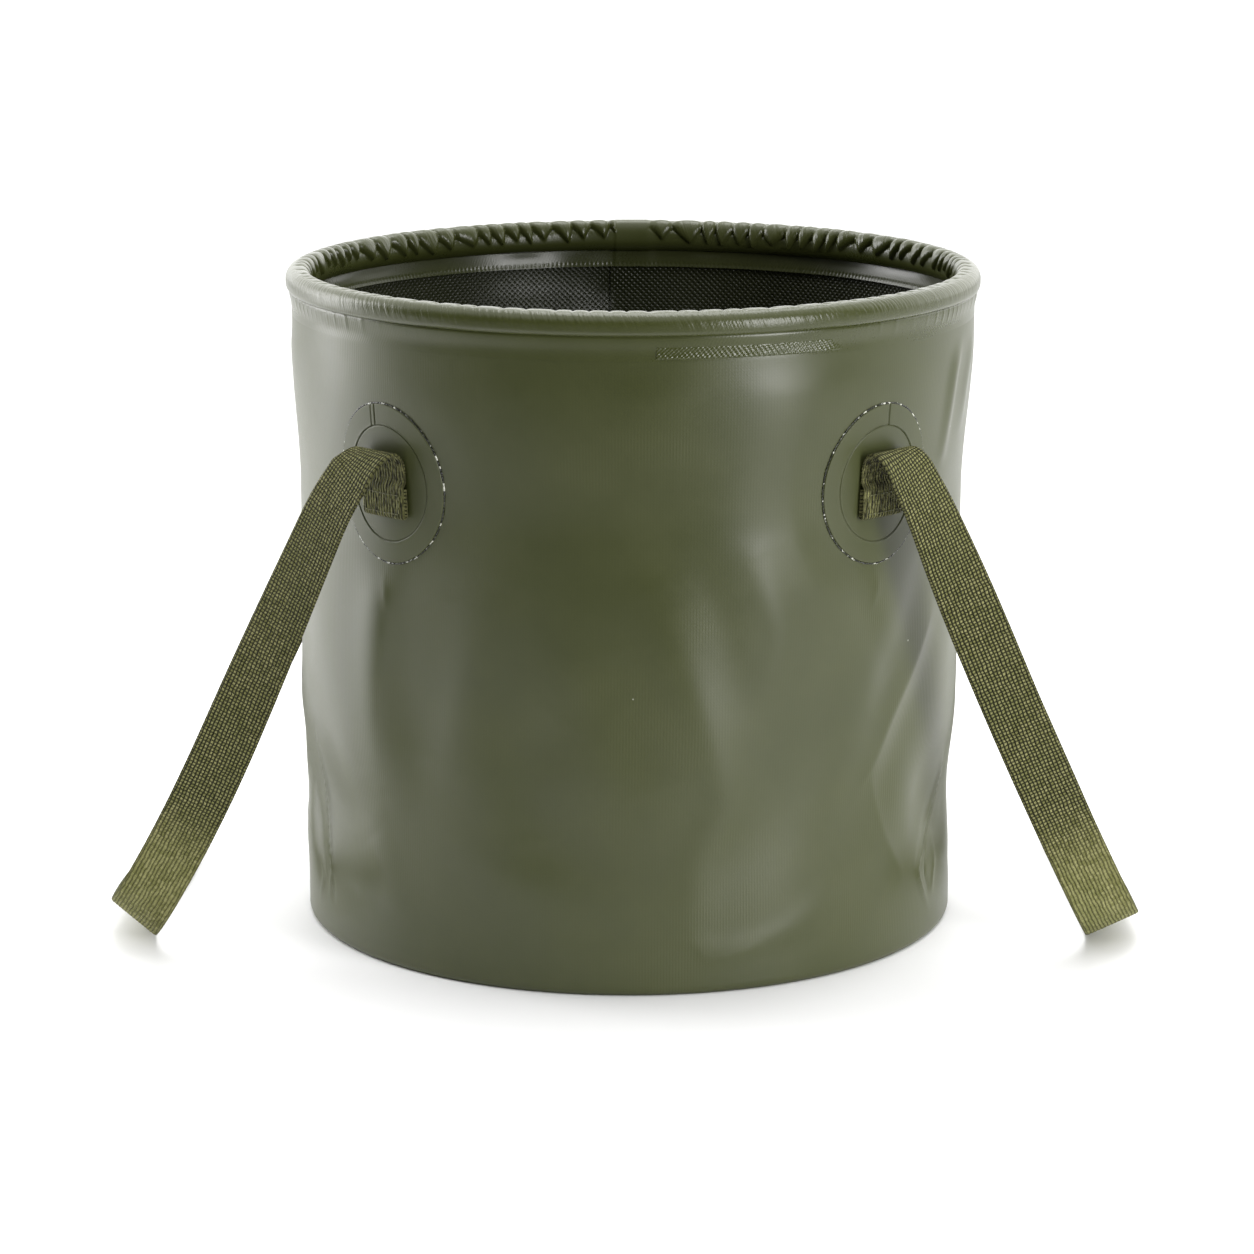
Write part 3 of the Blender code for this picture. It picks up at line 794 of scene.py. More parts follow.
def build_base():
    """The disc that the bucket stands on. Its edge turns up inside the wall."""
    edge = base_radius - sheet_thickness - fit_gap
    corner = 0.0030
    inner_corner = corner - sheet_thickness
    turn = np.linspace(0, math.pi / 2, 7)[1:]
    flat = np.linspace(0.00005, edge - corner, 40)
    flange = [0.006, 0.009, base_flange_height]
    radius = np.concatenate([flat, edge - corner + corner * np.sin(turn), [edge] * 3])
    height = np.concatenate([0 * flat, corner - corner * np.cos(turn), flange])
    inner_radius = np.concatenate([flat, edge - corner + inner_corner * np.sin(turn),
                                   [edge - sheet_thickness] * 3])
    inner_height = np.concatenate([0 * flat + sheet_thickness,
                                   corner - inner_corner * np.cos(turn), flange])
    azimuth = full_turn(240)[None, :]
    swell = 0.0007 * smooth_step((edge - 0.012 - flat) / 0.03)[:, None]
    waves = np.sin(3 * azimuth + flat[:, None] * 60) * np.sin(5 * azimuth - flat[:, None] * 38)
    swell = swell * (1 + waves * smooth_step(flat[:, None] / 0.06))
    inner_height = np.repeat(inner_height[:, None], azimuth.size, axis=1)
    inner_height[:len(flat)] += swell
    outside = leaning(around(azimuth, radius[:, None], height[:, None]))
    inside = leaning(around(azimuth, inner_radius[:, None], inner_height))
    turned = np.linspace(0, math.tau, azimuth.size + 1)[None, :]
    uv = around(turned, radius[:, None] + height[:, None], 0)[..., :2]
    base = shell("base_sheet", outside, inside, uv, [outside_sheet, inside_sheet], True)
    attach(base, "bucket_base")
    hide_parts("base_panel")


def gathers(azimuth, strengths):
    """Uneven ridges round the rim, 0 between two and 1 on top, plain and times their strengths."""
    count = len(strengths)
    turn = np.radians(azimuth)
    phase = count * turn / math.tau + 0.34 * np.sin(7 * turn + 0.6) + 0.20 * np.sin(17 * turn + 2.0)
    phase = phase + 0.10 * np.sin(41 * turn + 1.0)
    ridge = 1 - np.abs(2 * (phase % 1) - 1)
    return ridge, ridge * strengths[np.floor(phase).astype(int) % count]


def skirt_swell(height):
    """How far the sleeve swells where its tube runs out into the skirt."""
    over = np.exp(-((np.maximum(height - swell_top, 0) / swell_top_fade) ** 2))
    return swell_rise * over * smooth_step((height - swell_foot) / swell_foot_fade)


def sleeve_lap(azimuth):
    """1 on the smooth stretch at the rear where the sleeve's ends lie over each other."""
    turn = turn_to(azimuth, sleeve_lap_azimuth)
    return smooth_step((sleeve_lap_half + turn) / 2.4) * smooth_step((sleeve_lap_half - turn) / 0.5)


def build_rim():
    """The sleeve: skirt outside, tube over the hoop with its gathers, and flap inside.

    Its section is a line of rows. degrees is their place round the tube: 0 outside, 90 on top and
    180 inside. push is how far the sheet stands off the plain section.
    """
    mid = bead_radius - sheet_thickness / 2
    skirt, flap = skirt_radius - sheet_thickness / 2, flap_radius - sheet_thickness / 2
    first = -math.acos((skirt - hoop_centre_radius) / mid)
    last = math.tau - math.acos((flap - hoop_centre_radius) / mid)
    azimuth = np.linspace(-180, 180, 2000, endpoint=False)[None, :]
    lap = sleeve_lap(azimuth)
    turn = np.radians(azimuth)

    edge_rows = wall_height + np.array([0.0, 0.0008, 0.0018, 0.003])
    bead_foot = hoop_centre_height + mid * math.sin(first)
    skirt_rows = np.concatenate([edge_rows, np.linspace(wall_height + 0.0045, bead_foot, 10)[:-1]])
    fine_from, fine_to = math.radians(88), math.radians(212)
    angle = np.concatenate([np.linspace(first, fine_from, 34, endpoint=False),
                            np.linspace(fine_from, fine_to, 54, endpoint=False),
                            np.linspace(fine_to, last, 14)])
    sag = inner_sag * smooth_step((angle - 1.9) / 1.5)
    flap_top = hoop_centre_height + mid * math.sin(last) - inner_sag
    flap_rows = np.linspace(flap_top, visible_flap_foot, 16)[1:]
    below, inside = len(skirt_rows), len(flap_rows)
    radius = np.concatenate([np.full(below, skirt), hoop_centre_radius + mid * np.cos(angle),
                             np.full(inside, flap)])
    height = np.concatenate([skirt_rows, hoop_centre_height + mid * np.sin(angle) - sag, flap_rows])
    normal = np.concatenate([np.tile([1, 0], (below, 1)), np.stack([np.cos(angle), np.sin(angle)], axis=1),
                             np.tile([-1, 0], (inside, 1))])
    degrees = np.degrees(np.concatenate([np.full(below, first), angle, np.full(inside, last)]))[:, None]
    run = run_along(paired(radius, height))

    # Slanting gathers, and the puffed teeth between them on the inner side
    turn_of_gathers = azimuth + 0.020 * (degrees - 130) * np.sin(2 * turn + 0.5)
    ridge, tooth = gathers(turn_of_gathers, gather_strengths)
    point = tooth_end + 8 * np.sin(5 * turn + 1) + tooth_reach * tooth
    inside_tooth = np.clip((point - degrees) / 27, 0, 1)
    puffed = np.sqrt(1 - (1 - inside_tooth) ** 2) * smooth_step((degrees - 86) / 58)
    at_rear = smooth_step((0.4 - np.cos(turn)) / 1.0)
    folded = smooth_step((degrees - 66) / 34) * smooth_step((point + 12 - degrees) / 16)
    push = (tooth_depth + rear_tooth_gain * at_rear) * puffed
    push = push - folded * valley_depth * np.exp(-((ridge / valley_width) ** 2))
    ridge_height = ridge_rise + rear_ridge_gain * at_rear
    push = push + folded * ridge_height * (np.sin(ridge * math.pi / 2) - 0.6)

    # Small wrinkles on top, the smooth lap at the rear, and gathers in the skirt at both sides
    right_side = smooth_step((np.sin(turn) + 0.2) / 1.0)
    wrinkled = smooth_step((degrees - 20) / 60) * smooth_step((point - degrees) / 26)
    small = gathers(azimuth + 0.034 * degrees, wrinkle_strengths)[1]
    push = push + wrinkled * (wrinkle_rise + right_wrinkle_gain * right_side) * (small - 0.2)
    push = push * (1 - lap) + lap * sheet_thickness * 0.6
    gathered = np.maximum(np.sin(131 * turn + 5 * np.sin(11 * turn)), 0) ** 3
    gathered = gathered * smooth_step((np.abs(np.sin(turn)) - 0.50) / 0.4) * (0.6 + 0.4 * np.sin(19 * turn))
    on_skirt = (np.arange(len(run)) < below)[:, None]
    gathered = gathered * smooth_step((height[:, None] - swell_foot) / 0.005)
    push = push + on_skirt * skirt_gather_rise * gathered

    # The hanging flap: waves, its lean inward and the dotted seam near its foot
    on_flap = (np.arange(len(run)) >= len(run) - inside)[:, None]
    hung = (flap_top - height[:, None]) / (flap_top - visible_flap_foot)
    flap_wave = 0.00022 * np.sin(23 * turn + 3 * np.sin(4 * turn)) + 0.00016 * np.sin(9 * turn + 1)
    push = push + on_flap * (flap_wave * smooth_step(hung / 0.5) + flap_lean * hung)
    seam_dots = np.sin(turn * hoop_centre_radius / seam_pitch * math.pi) ** 2
    push = push - on_flap * seam_depth * seam_dots * np.exp(-(((hung - seam_place) / seam_width) ** 2))

    half = sheet_thickness / 2
    feather = smooth_step(run[:, None] / 0.004) * 0.85 + 0.15
    outer_radius = radius[:, None] + normal[:, :1] * (half + push) + on_skirt * 0.00008
    outer_radius = outer_radius + skirt_swell(height[:, None]) * (degrees < 20)
    outer_height = height[:, None] + normal[:, 1:] * (half + push)
    followed = np.maximum(push, 0) * 0.6
    inner_radius = radius[:, None] - normal[:, :1] * (half * (2 * feather - 1) - followed)
    inner_height = height[:, None] - normal[:, 1:] * (half - followed)
    outer_height = np.minimum(outer_height, overall_height + 0.0012)
    outer, inner = around(turn, outer_radius, outer_height), around(turn, inner_radius, inner_height)
    ahead = np.radians(np.linspace(-180, 180, azimuth.size + 1))[None, :] * hoop_centre_radius
    uv = paired(ahead, run[:, None])
    rim = shell("rim_cover", outer, inner, uv, [rim_sheet], True)
    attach(rim, "rim")
    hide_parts("rim_sleeve")


def build_weld_mark(name, start, end, depth, soft, fade):
    """A short run of crossing ribs pressed into the skirt by the welding bar."""
    azimuth = np.linspace(start, end, int((end - start) * 20))[None, :]
    height = np.linspace(mark_low, mark_high, 26)[:, None]
    turn = np.radians(azimuth)
    ahead, up = turn * skirt_radius, height - mark_low
    ribs = np.sin(math.tau * (ahead + 0.75 * up) / rib_pitch)
    cross_ribs = np.sin(math.tau * (ahead - 1.1 * up) / cross_rib_pitch)
    edge = smooth_step(up / soft) * smooth_step((mark_high - height) / soft)
    edge = edge * smooth_step((azimuth - start) / fade[0]) * smooth_step((end - azimuth) / fade[1])
    uneven = 0.75 + 0.25 * np.sin(72 * turn) * np.sin(height * 2100)
    pressed = 0.00045 * (mark_high - height) / (mark_high - mark_low) * (soft < 0.001)
    pattern = 0.25 * (ribs + cross_ribs) + 0.5
    relief = edge * (0.00008 + pressed + depth * pattern * uneven)
    radius = skirt_radius - 0.00002 + skirt_swell(height) + relief
    outer = around(turn, radius, height)
    inner = around(turn, skirt_radius - 0.00025, height)
    uv = paired(turn * skirt_radius, height)
    mark = shell(name, outer, inner, uv, [weld_sheet])
    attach(mark, "rim")


def build_patch(place, azimuth, slit_side, slit_width):
    """A welded disc with a pressed ring, a slit at its top and a thin bead of coating at its edge."""
    share = np.concatenate([np.linspace(0.02, 0.69, 12), np.linspace(0.700, 0.748, 13),
                            np.linspace(0.76, 0.96, 9), np.linspace(0.972, 1.0, 10)])[:, None]
    at, wide = slit_side / (patch_width / 2), slit_width / patch_width
    turn = np.unique(np.concatenate([full_turn(192), np.arccos(at) + np.linspace(-0.16, 0.16, 141)]))
    across, up = share * np.cos(turn), share * np.sin(turn)
    lift = np.full(np.broadcast(share, turn).shape, patch_rise)
    lift = lift + 0.00012 * smooth_step((share - pressed_ring) / 0.01)
    lift = lift - 0.00034 * np.exp(-(((share - pressed_ring) / 0.0085) ** 2))
    lift = lift + 0.00010 * np.exp(-(((share - 0.742) / 0.008) ** 2)) * (0.6 + 0.4 * np.sin(turn * 23))
    in_slit = (share > pressed_ring + 0.004) * (up > 0)
    for line, strength in ((at - wide, 0.6), (at + wide, 1.0)):
        lift = lift - in_slit * strength * 0.0005 * np.exp(-(((across - line) / 0.0095) ** 2))
    lift = lift * (1 - smooth_step((share - 0.985) / 0.015)) - 0.0001 * (share > 0.995)
    height = patch_centre_height + up * patch_height / 2
    plain = wall_radius(height)
    angle = math.radians(azimuth) + across * patch_width / 2 / plain
    outer, inner = around(angle, plain + lift + 0.00022, height), around(angle, plain - 0.0002, height)
    closed = np.append(turn, turn[0] + math.tau)
    uv = paired(share * np.cos(closed), share * np.sin(closed)) * patch_width / 2
    patch = shell("patch_disc_" + place, outer, inner, uv, [patch_sheet], True)

    beads, ring = full_turn(600)[:, None], full_turn(8)[None, :]
    lumps = 1 + 0.35 * np.sin(beads * 37 + azimuth) * np.sin(beads * 61) + 0.2 * np.sin(beads * 143)
    thick = bead_size * lumps
    bead_share = 1.004 + 0.002 * np.sin(beads * 7 + azimuth)
    bead_height = patch_centre_height + bead_share * np.sin(beads) * patch_height / 2
    bead_plain = wall_radius(bead_height)
    bead_turn = math.radians(azimuth) + bead_share * np.cos(beads) * patch_width / 2 / bead_plain
    out = np.cos(ring) * thick
    sideways = np.sin(ring) * thick
    points = around(bead_turn + sideways * np.cos(beads) / bead_plain, bead_plain + 0.00018 + out,
                    bead_height + sideways * np.sin(beads))
    points = np.concatenate([points, points[:1]])
    ahead = np.arange(len(points))[:, None] * bead_size
    bead = strip("weld_bead_" + place, points, paired(ahead, ring * 0.0002), [weld_bead], flipped=True)
    for piece in (patch, bead):
        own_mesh(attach(piece, "handle_anchors"))
    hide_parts("patch_" + place)


def webbing_section():
    """(across, out) round the webbing's section, with soft edges and lengthwise ribs."""
    share = np.concatenate([[-1, -0.985], np.linspace(-0.95, 0.95, 57), [0.985, 1]])
    body = np.sqrt(1 - np.abs(share) ** 14 * 0.93)
    rib = 0.00006 * np.cos(math.tau * 8 * (share + 1)) * (np.abs(share) < 0.96)
    selvedge = 0.00012 * np.exp(-(((np.abs(share) - 0.93) / 0.035) ** 2))
    out = (webbing_thickness / 2 - 0.00004) * body + rib + selvedge
    across = np.concatenate([share, share[::-1]]) * webbing_width / 2
    return across, np.concatenate([out, -out[::-1]])


def loop_start(gap):
    radius = wall_radius(loop_start_height) + gap
    return around(-math.radians(patch_azimuth + loop_start_turn), radius, loop_start_height)


def strap_seat(height):
    """Radius of the webbing's mid line where it lies on a patch."""
    return wall_radius(height) + 2 * fit_gap + sheet_thickness + webbing_thickness / 2


def half_route(gap, lean, foot_lean, turn_from, face_tilt, shoulder, fullness, twist):
    """A strap's mid line from its front sewn end to the middle of its foot, as if on the left.

    It starts gap off the wall. It leans out by lean degrees from the upright, by shoulder more at its
    top, and turns to foot_lean below turn_from of its depth, where its face turns to face_tilt.
    fullness shapes the bend at its top, and its face lies flat to the loop after a run of twist.
    Returns its points, and the sides there, not yet square to it.
    """
    lean, foot_lean, face_tilt, shoulder = [math.radians(angle)
                                            for angle in (lean, foot_lean, face_tilt, shoulder)]
    lowest = fit_gap + webbing_width / 2 * math.sin(face_tilt) + webbing_thickness / 2 * math.cos(face_tilt)
    steps = 799
    share = np.linspace(0, 1, steps + 1)
    turned = smooth_step((share - turn_from) / (1 - turn_from))
    tilts = lean + (face_tilt - lean) * turned
    leans = lean + (foot_lean - lean) * turned + shoulder * (1 - smooth_step(share / 0.13))
    depth = (loop_start_height - lowest) / np.cos(leans).mean()
    out_by, down_by = [np.concatenate([[0], np.cumsum((line[1:] + line[:-1]) / 2) * depth / steps])
                       for line in (np.sin(leans), np.cos(leans))]
    down = np.array([-math.sin(leans[0]), 0, -math.cos(leans[0])])
    start = loop_start(gap)

    corner = np.array([-loop_foot_width / 2 + loop_corner_radius, depth - loop_corner_radius])
    first = np.array([start[1], 0])
    reach = corner - first
    slope = math.atan2(reach[0], reach[1]) - math.asin(loop_corner_radius / np.linalg.norm(reach))
    touch = corner + loop_corner_radius * np.array([-math.cos(slope), math.sin(slope)])
    leg = first + np.linspace(0, 1, 220, endpoint=False)[:, None] * (touch - first)
    angle = np.linspace(slope, math.pi / 2, 50, endpoint=False)[:, None]
    bend = corner + loop_corner_radius * np.hstack([-np.cos(angle), np.sin(angle)])
    foot = np.linspace([corner[0], depth], [0, depth], 56)
    flat = np.vstack([leg, bend, foot])
    hung = flat[:, 1] / depth
    loop = np.stack([start[0] - np.interp(hung, share, out_by), flat[:, 0],
                     loop_start_height - np.interp(hung, share, down_by)], axis=1)

    azimuth = -math.radians(patch_azimuth)
    low = around(azimuth, strap_seat(strap_top_height), strap_top_height)
    below = around(azimuth, strap_seat(strap_foot_height), strap_foot_height)
    up = fullness[0] * unit(low - below)
    into = fullness[1] * (np.array([0, math.sin(slope), 0]) + math.cos(slope) * down)
    t = np.linspace(0, 1, 60, endpoint=False)[:, None]
    over = ((2 * t**3 - 3 * t**2 + 1) * low + (t**3 - 2 * t**2 + t) * up
            + (3 * t**2 - 2 * t**3) * loop[0] + (t**3 - t**2) * into)
    half = np.vstack([over, loop])
    tilt_there = np.concatenate([np.full(len(over), lean), np.interp(hung, share, tilts)])
    flat_side = np.stack([np.cos(tilt_there), np.zeros(len(tilt_there)), -np.sin(tilt_there)], axis=1)

    tangent = np.array([math.cos(azimuth), math.sin(azimuth), 0])
    return half, tangent + smooth_step(run_along(half) / twist)[:, None] * (flat_side - tangent)


def strap_route(front, rear):
    """A whole strap from its front and rear halves: the run, points, sides and normals along it."""
    points, sides, rear_points, rear_sides = [np.vstack([half, half[-2::-1] * [1, -1, 1]])
                                              for half in front + rear]
    # The front's line runs over into the rear's on the ground
    share = smooth_step((points[:, 1:2] + 0.062) / 0.110)
    middle, on_ground = len(points) // 2, 120
    share[:middle - on_ground] = 0
    share[middle + on_ground:] = 1
    points, sides = points + share * (rear_points - points), sides + share * (rear_sides - sides)
    ahead = unit(np.gradient(points, axis=0))
    sides = unit(sides - (sides * ahead).sum(axis=1, keepdims=True) * ahead)
    return run_along(points), points, sides, np.cross(ahead, sides)


def on_route(route, run, across, out):
    """Points of a strap at runs along it, and offsets across it and out of it.

    Its first 12 mm bend across with the patch that they lie on.
    """
    route_run, *lines = route
    point, side, normal = [np.stack([np.interp(run, route_run, line[:, i]) for i in range(3)], axis=-1)
                           for line in lines]
    from_end = np.minimum(run, route_run[-1] - run)
    hug = across**2 / (2 * waist_radius) * (1 - smooth_step(from_end / 0.012))
    radial = unit(point * [1, 1, 0])
    return point + across[..., None] * side + out[..., None] * normal - hug[..., None] * radial


def cut_runs(route, across, out, at_rear):
    """For each point of the section, how far from its end a leg passes the cut height."""
    from_end = np.linspace(0.012, 0.12, 500)
    run = route[0][-1] - from_end if at_rear else from_end
    cuts = []
    for a, b in zip(across, out):
        points = on_route(route, run, 0 * run + a, 0 * run + b)
        crest = int(np.argmax(points[:, 2]))
        cuts.append(np.interp(-loop_cut_height, -points[crest:, 2], from_end[crest:]))
    return np.array(cuts)


def build_straps():
    """Both handles: a loop each, and the bends that join it to its sewn ends."""
    across, out = webbing_section()
    short, long = np.linspace(0, 1, 64)[:, None], np.linspace(0, 1, 470)[:, None]
    across_all, out_all = across[None, :], out[None, :]
    for side, flip, route in (("left", 1, left_route), ("right", -1, right_route)):
        length = route[0][-1]
        front_cuts, rear_cuts = [cut_runs(route, across, out, at_rear) for at_rear in (False, True)]
        pieces = {
            "front": short * front_cuts,
            "rear": length - rear_cuts + short * rear_cuts,
            "loop": front_cuts + long * (length - rear_cuts - front_cuts),
        }
        for kind, run in pieces.items():
            wide, deep = np.broadcast_to(across_all, run.shape), np.broadcast_to(out_all, run.shape)
            points = on_route(route, run, wide, deep) * [flip, 1, 1]
            points[..., 2] = np.maximum(points[..., 2], 0.0002)
            uv = np.stack([run, wide], axis=-1)
            name = f"handle_{side}" if kind == "loop" else f"bend_{kind}_{side}"
            piece = strip(name, points, uv, [webbing, webbing_back], flipped=flip < 0)
            if kind == "loop":
                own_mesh(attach(piece, "handle_" + side))
                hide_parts("handle_loop_" + side)
            else:
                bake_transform(piece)
                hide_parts(f"strap_bend_{kind}_{side}")


def build_sewn_end(place, azimuth):
    """The end of the webbing, turned under and sewn to its patch."""
    fold_radius = (webbing_thickness + fit_gap) / 2
    fold_height = strap_foot_height + fold_radius + webbing_thickness / 2
    hem_top = strap_foot_height + hem_length
    under = np.linspace(hem_top, fold_height, 12, endpoint=False)
    turn = np.linspace(0, math.pi, 12, endpoint=False)
    over = np.linspace(fold_height, hem_top, 14, endpoint=False)
    rise = np.linspace(hem_top, hem_top + hem_rise_length, 8, endpoint=False)
    plain = np.linspace(hem_top + hem_rise_length, strap_top_height, 5)
    step = webbing_thickness + fit_gap
    middle = strap_seat(fold_height) + fold_radius
    height = np.concatenate([under, fold_height - fold_radius * np.sin(turn), over, rise, plain])
    stepped = strap_seat(rise) + step * (1 - smooth_step((rise - hem_top) / hem_rise_length))
    radius = np.concatenate([strap_seat(under), middle - fold_radius * np.cos(turn),
                             strap_seat(over) + step, stepped, strap_seat(plain)])
    ahead = unit(paired(np.gradient(radius), np.gradient(height)))
    run = run_along(paired(radius, height))
    across, out = webbing_section()
    pillow = 0.00018 * np.sin(math.pi * np.clip((height - strap_foot_height) / hem_length, 0, 1))
    deep = out[None, :] + pillow[:, None] * (out[None, :] > 0) * (np.abs(across[None, :]) < 0.011)
    at_radius = radius[:, None] + ahead[:, 1:] * deep
    at_height = height[:, None] - ahead[:, :1] * deep
    angle = math.radians(azimuth) + across[None, :] / radius[:, None]
    points = around(angle, at_radius, at_height)
    uv = paired(run[:, None] - run[-1], across[None, :])
    piece = strip("sewn_end_" + place, points, uv, [webbing_back, webbing], flipped=True)
    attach(piece, "handle_anchors")
    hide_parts("strap_end_" + place)


def build_stitches(place, azimuth):
    """The box of separate stitches through the turned-under end."""
    low, high = strap_foot_height + stitch_inset, strap_foot_height + hem_length - stitch_inset
    wide = webbing_width / 2 - stitch_inset
    corners = np.array([(-wide, low), (wide, low), (wide, high), (-wide, high), (-wide, low)])
    points, faces = [], []
    ring = full_turn(8)
    for start, end in zip(corners, corners[1:]):
        way = end - start
        length = np.linalg.norm(way)
        count = max(round(length / stitch_pitch), 1)
        way = way / length
        aside = np.array([-way[1], way[0]])
        for i in range(count):
            centre = start + way * length * (i + 0.5) / count
            centre = centre + rng.normal(0, 0.00006, 2)
            along = np.linspace(-1, 1, 7)
            thick = stitch_radius * np.sqrt(np.clip(1.02 - along**2, 0.03, 1))
            run = centre + np.outer(along * stitch_half_length, way)
            base = len(points)
            for j in range(7):
                for k in ring:
                    x, z = run[j] + aside * thick[j] * math.cos(k)
                    seat = strap_seat(z) + webbing_thickness + fit_gap
                    radius = seat + webbing_thickness / 2 + 0.00016 + thick[j] * math.sin(k)
                    points.append(around(math.radians(azimuth) + x / seat, radius, z))
            for j in range(6):
                for k in range(8):
                    a, b = base + j * 8 + k, base + j * 8 + (k + 1) % 8
                    faces.append((a, b, b + 8, a + 8))
            for first, turned in ((base, -1), (base + 48, 1)):
                for pair in ((0, 1, 2, 3), (0, 3, 4, 7), (4, 5, 6, 7)):
                    faces.append(tuple(first + p for p in pair[::turned]))
    faces = np.array(faces)
    no_cloth = np.zeros((len(faces), 4, 2))
    piece = mesh_piece("stitches_" + place, np.array(points), faces, no_cloth, [thread])
    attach(piece, "handle_anchors")
    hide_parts("stitching_" + place)


def build_stage():
    """Pale floor, soft boxes and the photograph's camera."""
    bpy.ops.mesh.primitive_plane_add(size=30)
    floor = bpy.context.object
    floor.name = "floor"
    material, tree, shader, place = new_material("floor", Roughness=0.6)
    cloud = noise(tree, place, 3.0, 2.0)
    seen = node(tree, "LightPath").outputs["Is Camera Ray"]
    paler = mixed(tree, cloud, (0.85, 0.85, 0.85, 1), (0.87, 0.87, 0.87, 1))
    # What the bucket mirrors of the floor is bright near it and dark further forward
    near = ramp(tree, node(tree, "SeparateXYZ", {0: place}).outputs[1], -0.78, -0.18)
    colour = mixed(tree, near, (0.20, 0.20, 0.20, 1), (0.90, 0.90, 0.90, 1))
    colour = mixed(tree, seen, colour, paler)
    tree.links.new(colour, shader.inputs["Base Color"])
    floor.data.materials.append(material)

    scene = bpy.context.scene
    world = bpy.data.worlds.new("studio")
    scene.world = world
    world.use_nodes = True
    tree = world.node_tree
    tree.nodes.clear()
    way = node(tree, "TexCoord").outputs["Generated"]
    apart = node(tree, "SeparateXYZ", {0: way}).outputs
    to_right = math_of(tree, "MAXIMUM", apart[0], 0.0)
    behind = ramp(tree, math_of(tree, "MULTIPLY_ADD", to_right, 0.08, apart[1]), -0.10, 0.36, 0.05, 2.4)
    above = ramp(tree, apart[2], 0.45, 0.85, 0.0, 1.0)
    overhead = times(tree, above, 1.4)
    strength = math_of(tree, "MULTIPLY_ADD", behind, minus(tree, 1.0, above), overhead)
    seen = node(tree, "LightPath").outputs["Is Camera Ray"]
    strength = math_of(tree, "ADD", times(tree, strength, minus(tree, 1.0, seen)),
                      seen)
    light = node(tree, "Background", {"Color": (1, 1, 1, 1), "Strength": strength})
    tree.links.new(light.outputs[0], node(tree, "OutputWorld").inputs[0])

    bucket_middle = 0.14
    for name, place, size, power in (
        ("window_right", (0.98, -1.05, 0.42), (0.45, 0.80), 14),
        ("panel_left", (-1.30, 0.50, 0.45), (0.60, 1.10), 11),
        ("top", (0.1, 0.4, 1.9), (1.2, 1.2), 21),
    ):
        data = bpy.data.lights.new(name, "AREA")
        data.shape = "RECTANGLE"
        data.size, data.size_y = size
        data.energy = power
        lamp = bpy.data.objects.new(name, data)
        scene.collection.objects.link(lamp)
        lamp.location = place
        aim = np.array([0, 0, bucket_middle]) - place
        lamp.rotation_euler = (math.atan2(math.hypot(aim[0], aim[1]), -aim[2]), 0,
                               math.atan2(aim[1], aim[0]) - math.pi / 2)

    camera_data = bpy.data.cameras.new("camera")
    camera_data.sensor_width = 36
    camera_data.lens = 114.86
    camera = bpy.data.objects.new("camera", camera_data)
    scene.collection.objects.link(camera)
    camera.location = (-0.0027, -1.757, 0.5318)
    camera.rotation_euler = (math.radians(90 - 12.98), 0, 0)
    scene.camera = camera
    scene.view_settings.view_transform = "Standard"


# Each strap's front half, from the photograph, and its plainer rear half
left_route = strap_route(
    half_route(gap=0.0189, lean=23.85, foot_lean=30.5, turn_from=0.50, face_tilt=41, shoulder=8.2,
               fullness=(0.0440, 0.0333), twist=0.235),
    half_route(gap=0.0100, lean=26.0, foot_lean=26.0, turn_from=0.50, face_tilt=26, shoulder=0,
               fullness=(0.036, 0.036), twist=0.170),
)
right_route = strap_route(
    half_route(gap=0.0157, lean=23.0, foot_lean=25.9, turn_from=0.30, face_tilt=25, shoulder=3.8,
               fullness=(0.0371, 0.0412), twist=0.140),
    half_route(gap=0.0115, lean=24.4, foot_lean=24.4, turn_from=0.50, face_tilt=25, shoulder=0,
               fullness=(0.036, 0.036), twist=0.170),
)

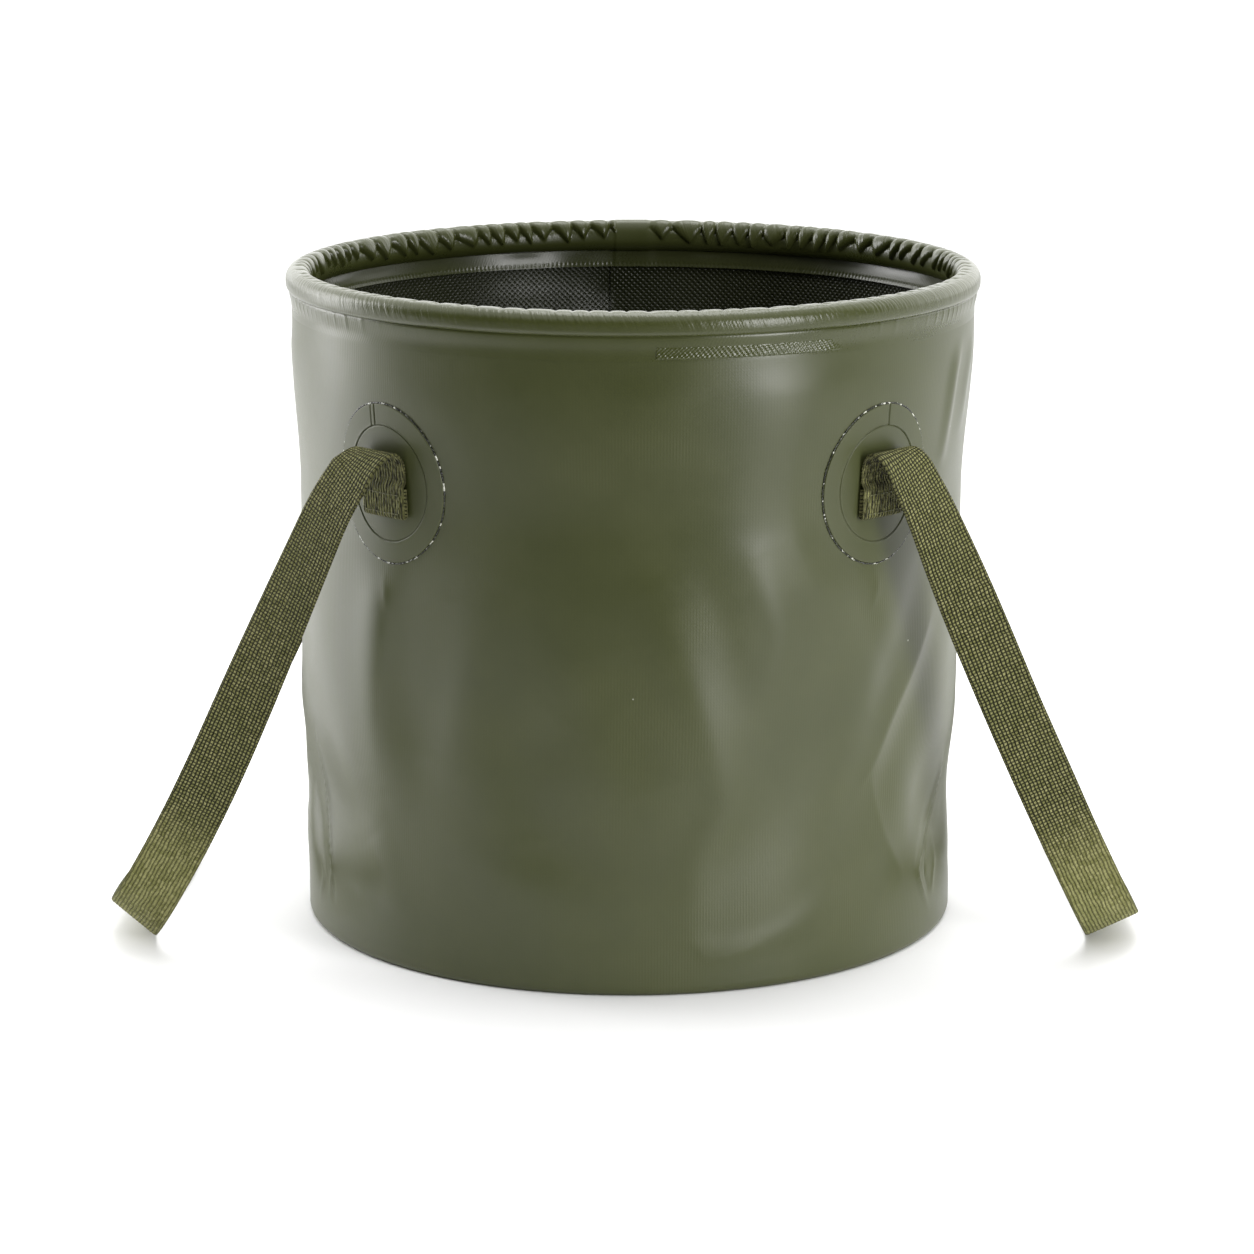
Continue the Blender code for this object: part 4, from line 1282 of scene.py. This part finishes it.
# Where the light line along a hem lies on the cloth: this far before a sewn end's upper end
hem_run = hem_length + hem_rise_length + 0.0044
route_length = right_route[0][-1]

# Dark and light colour of the coating, and its lint's colour. The second set is the same olive made
# darker, as painted shade for the bucket's inside
olive = (0.042, 0.049, 0.011, 1), (0.053, 0.060, 0.016, 1), (0.42, 0.43, 0.36, 1)
painted_shade_olive = (0.020, 0.023, 0.009, 1), (0.030, 0.033, 0.014, 1), (0.25, 0.26, 0.2, 1)
outside_sheet = coated_sheet("outside sheet", olive, 0.33, (0.0013, 0, 0.15), 0.00004)
# Painted shade: the inside of the wall and the base gets the darker olive
inside_sheet = coated_sheet("inside sheet with painted shade", painted_shade_olive, 0.30, (0.0019, math.radians(45), 1.0), 0.00030)
rim_sheet = coated_sheet("rim sheet", olive, 0.27, (0.0013, 0.5, 0.15), 0.00005, wrinkled=True)
weld_sheet = coated_sheet("welded sheet", olive, 0.20, (0.0013, 0, 0.2), 0.00003)
patch_sheet = coated_sheet("patch sheet", olive, 0.42, (0.0013, 0, 0.2), 0.00002)
webbing = webbing_material("webbing", False)
webbing_back = webbing_material("webbing back", True)
thread = thread_material()
weld_bead = weld_bead_material()
hoop_tube = hoop_material()

build_stage()
for name in ("rim_hoop", "hoop_joiner"):
    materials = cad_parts[name].data.materials
    materials.clear()
    materials.append(hoop_tube)
build_base()
build_rim()
build_wall()
for name, start, end, depth, soft, fade in (
    ("weld_mark_front", 3.4, 36.0, 0.00030, 0.0006, (0.12, 5)),
    ("weld_mark_right", 46.0, 74.0, 0.00012, 0.0022, (9, 9)),
    ("weld_mark_rear", 192.0, 222.0, 0.00028, 0.0006, (0.12, 5)),
    ("weld_mark_left", 268.0, 292.0, 0.00010, 0.0022, (8, 8)),
):
    build_weld_mark(name, start, end, depth, soft, fade)
for place, azimuth, slit_side, slit_width in (
    ("front_left", -patch_azimuth, -0.0055, 0.0023),
    ("front_right", patch_azimuth, 0.0022, 0.0007),
    ("rear_left", patch_azimuth - 180, 0.0030, 0.0012),
    ("rear_right", 180 - patch_azimuth, -0.0035, 0.0018),
):
    build_patch(place, azimuth, slit_side, slit_width)
    build_sewn_end(place, azimuth)
    build_stitches(place, azimuth)
build_straps()
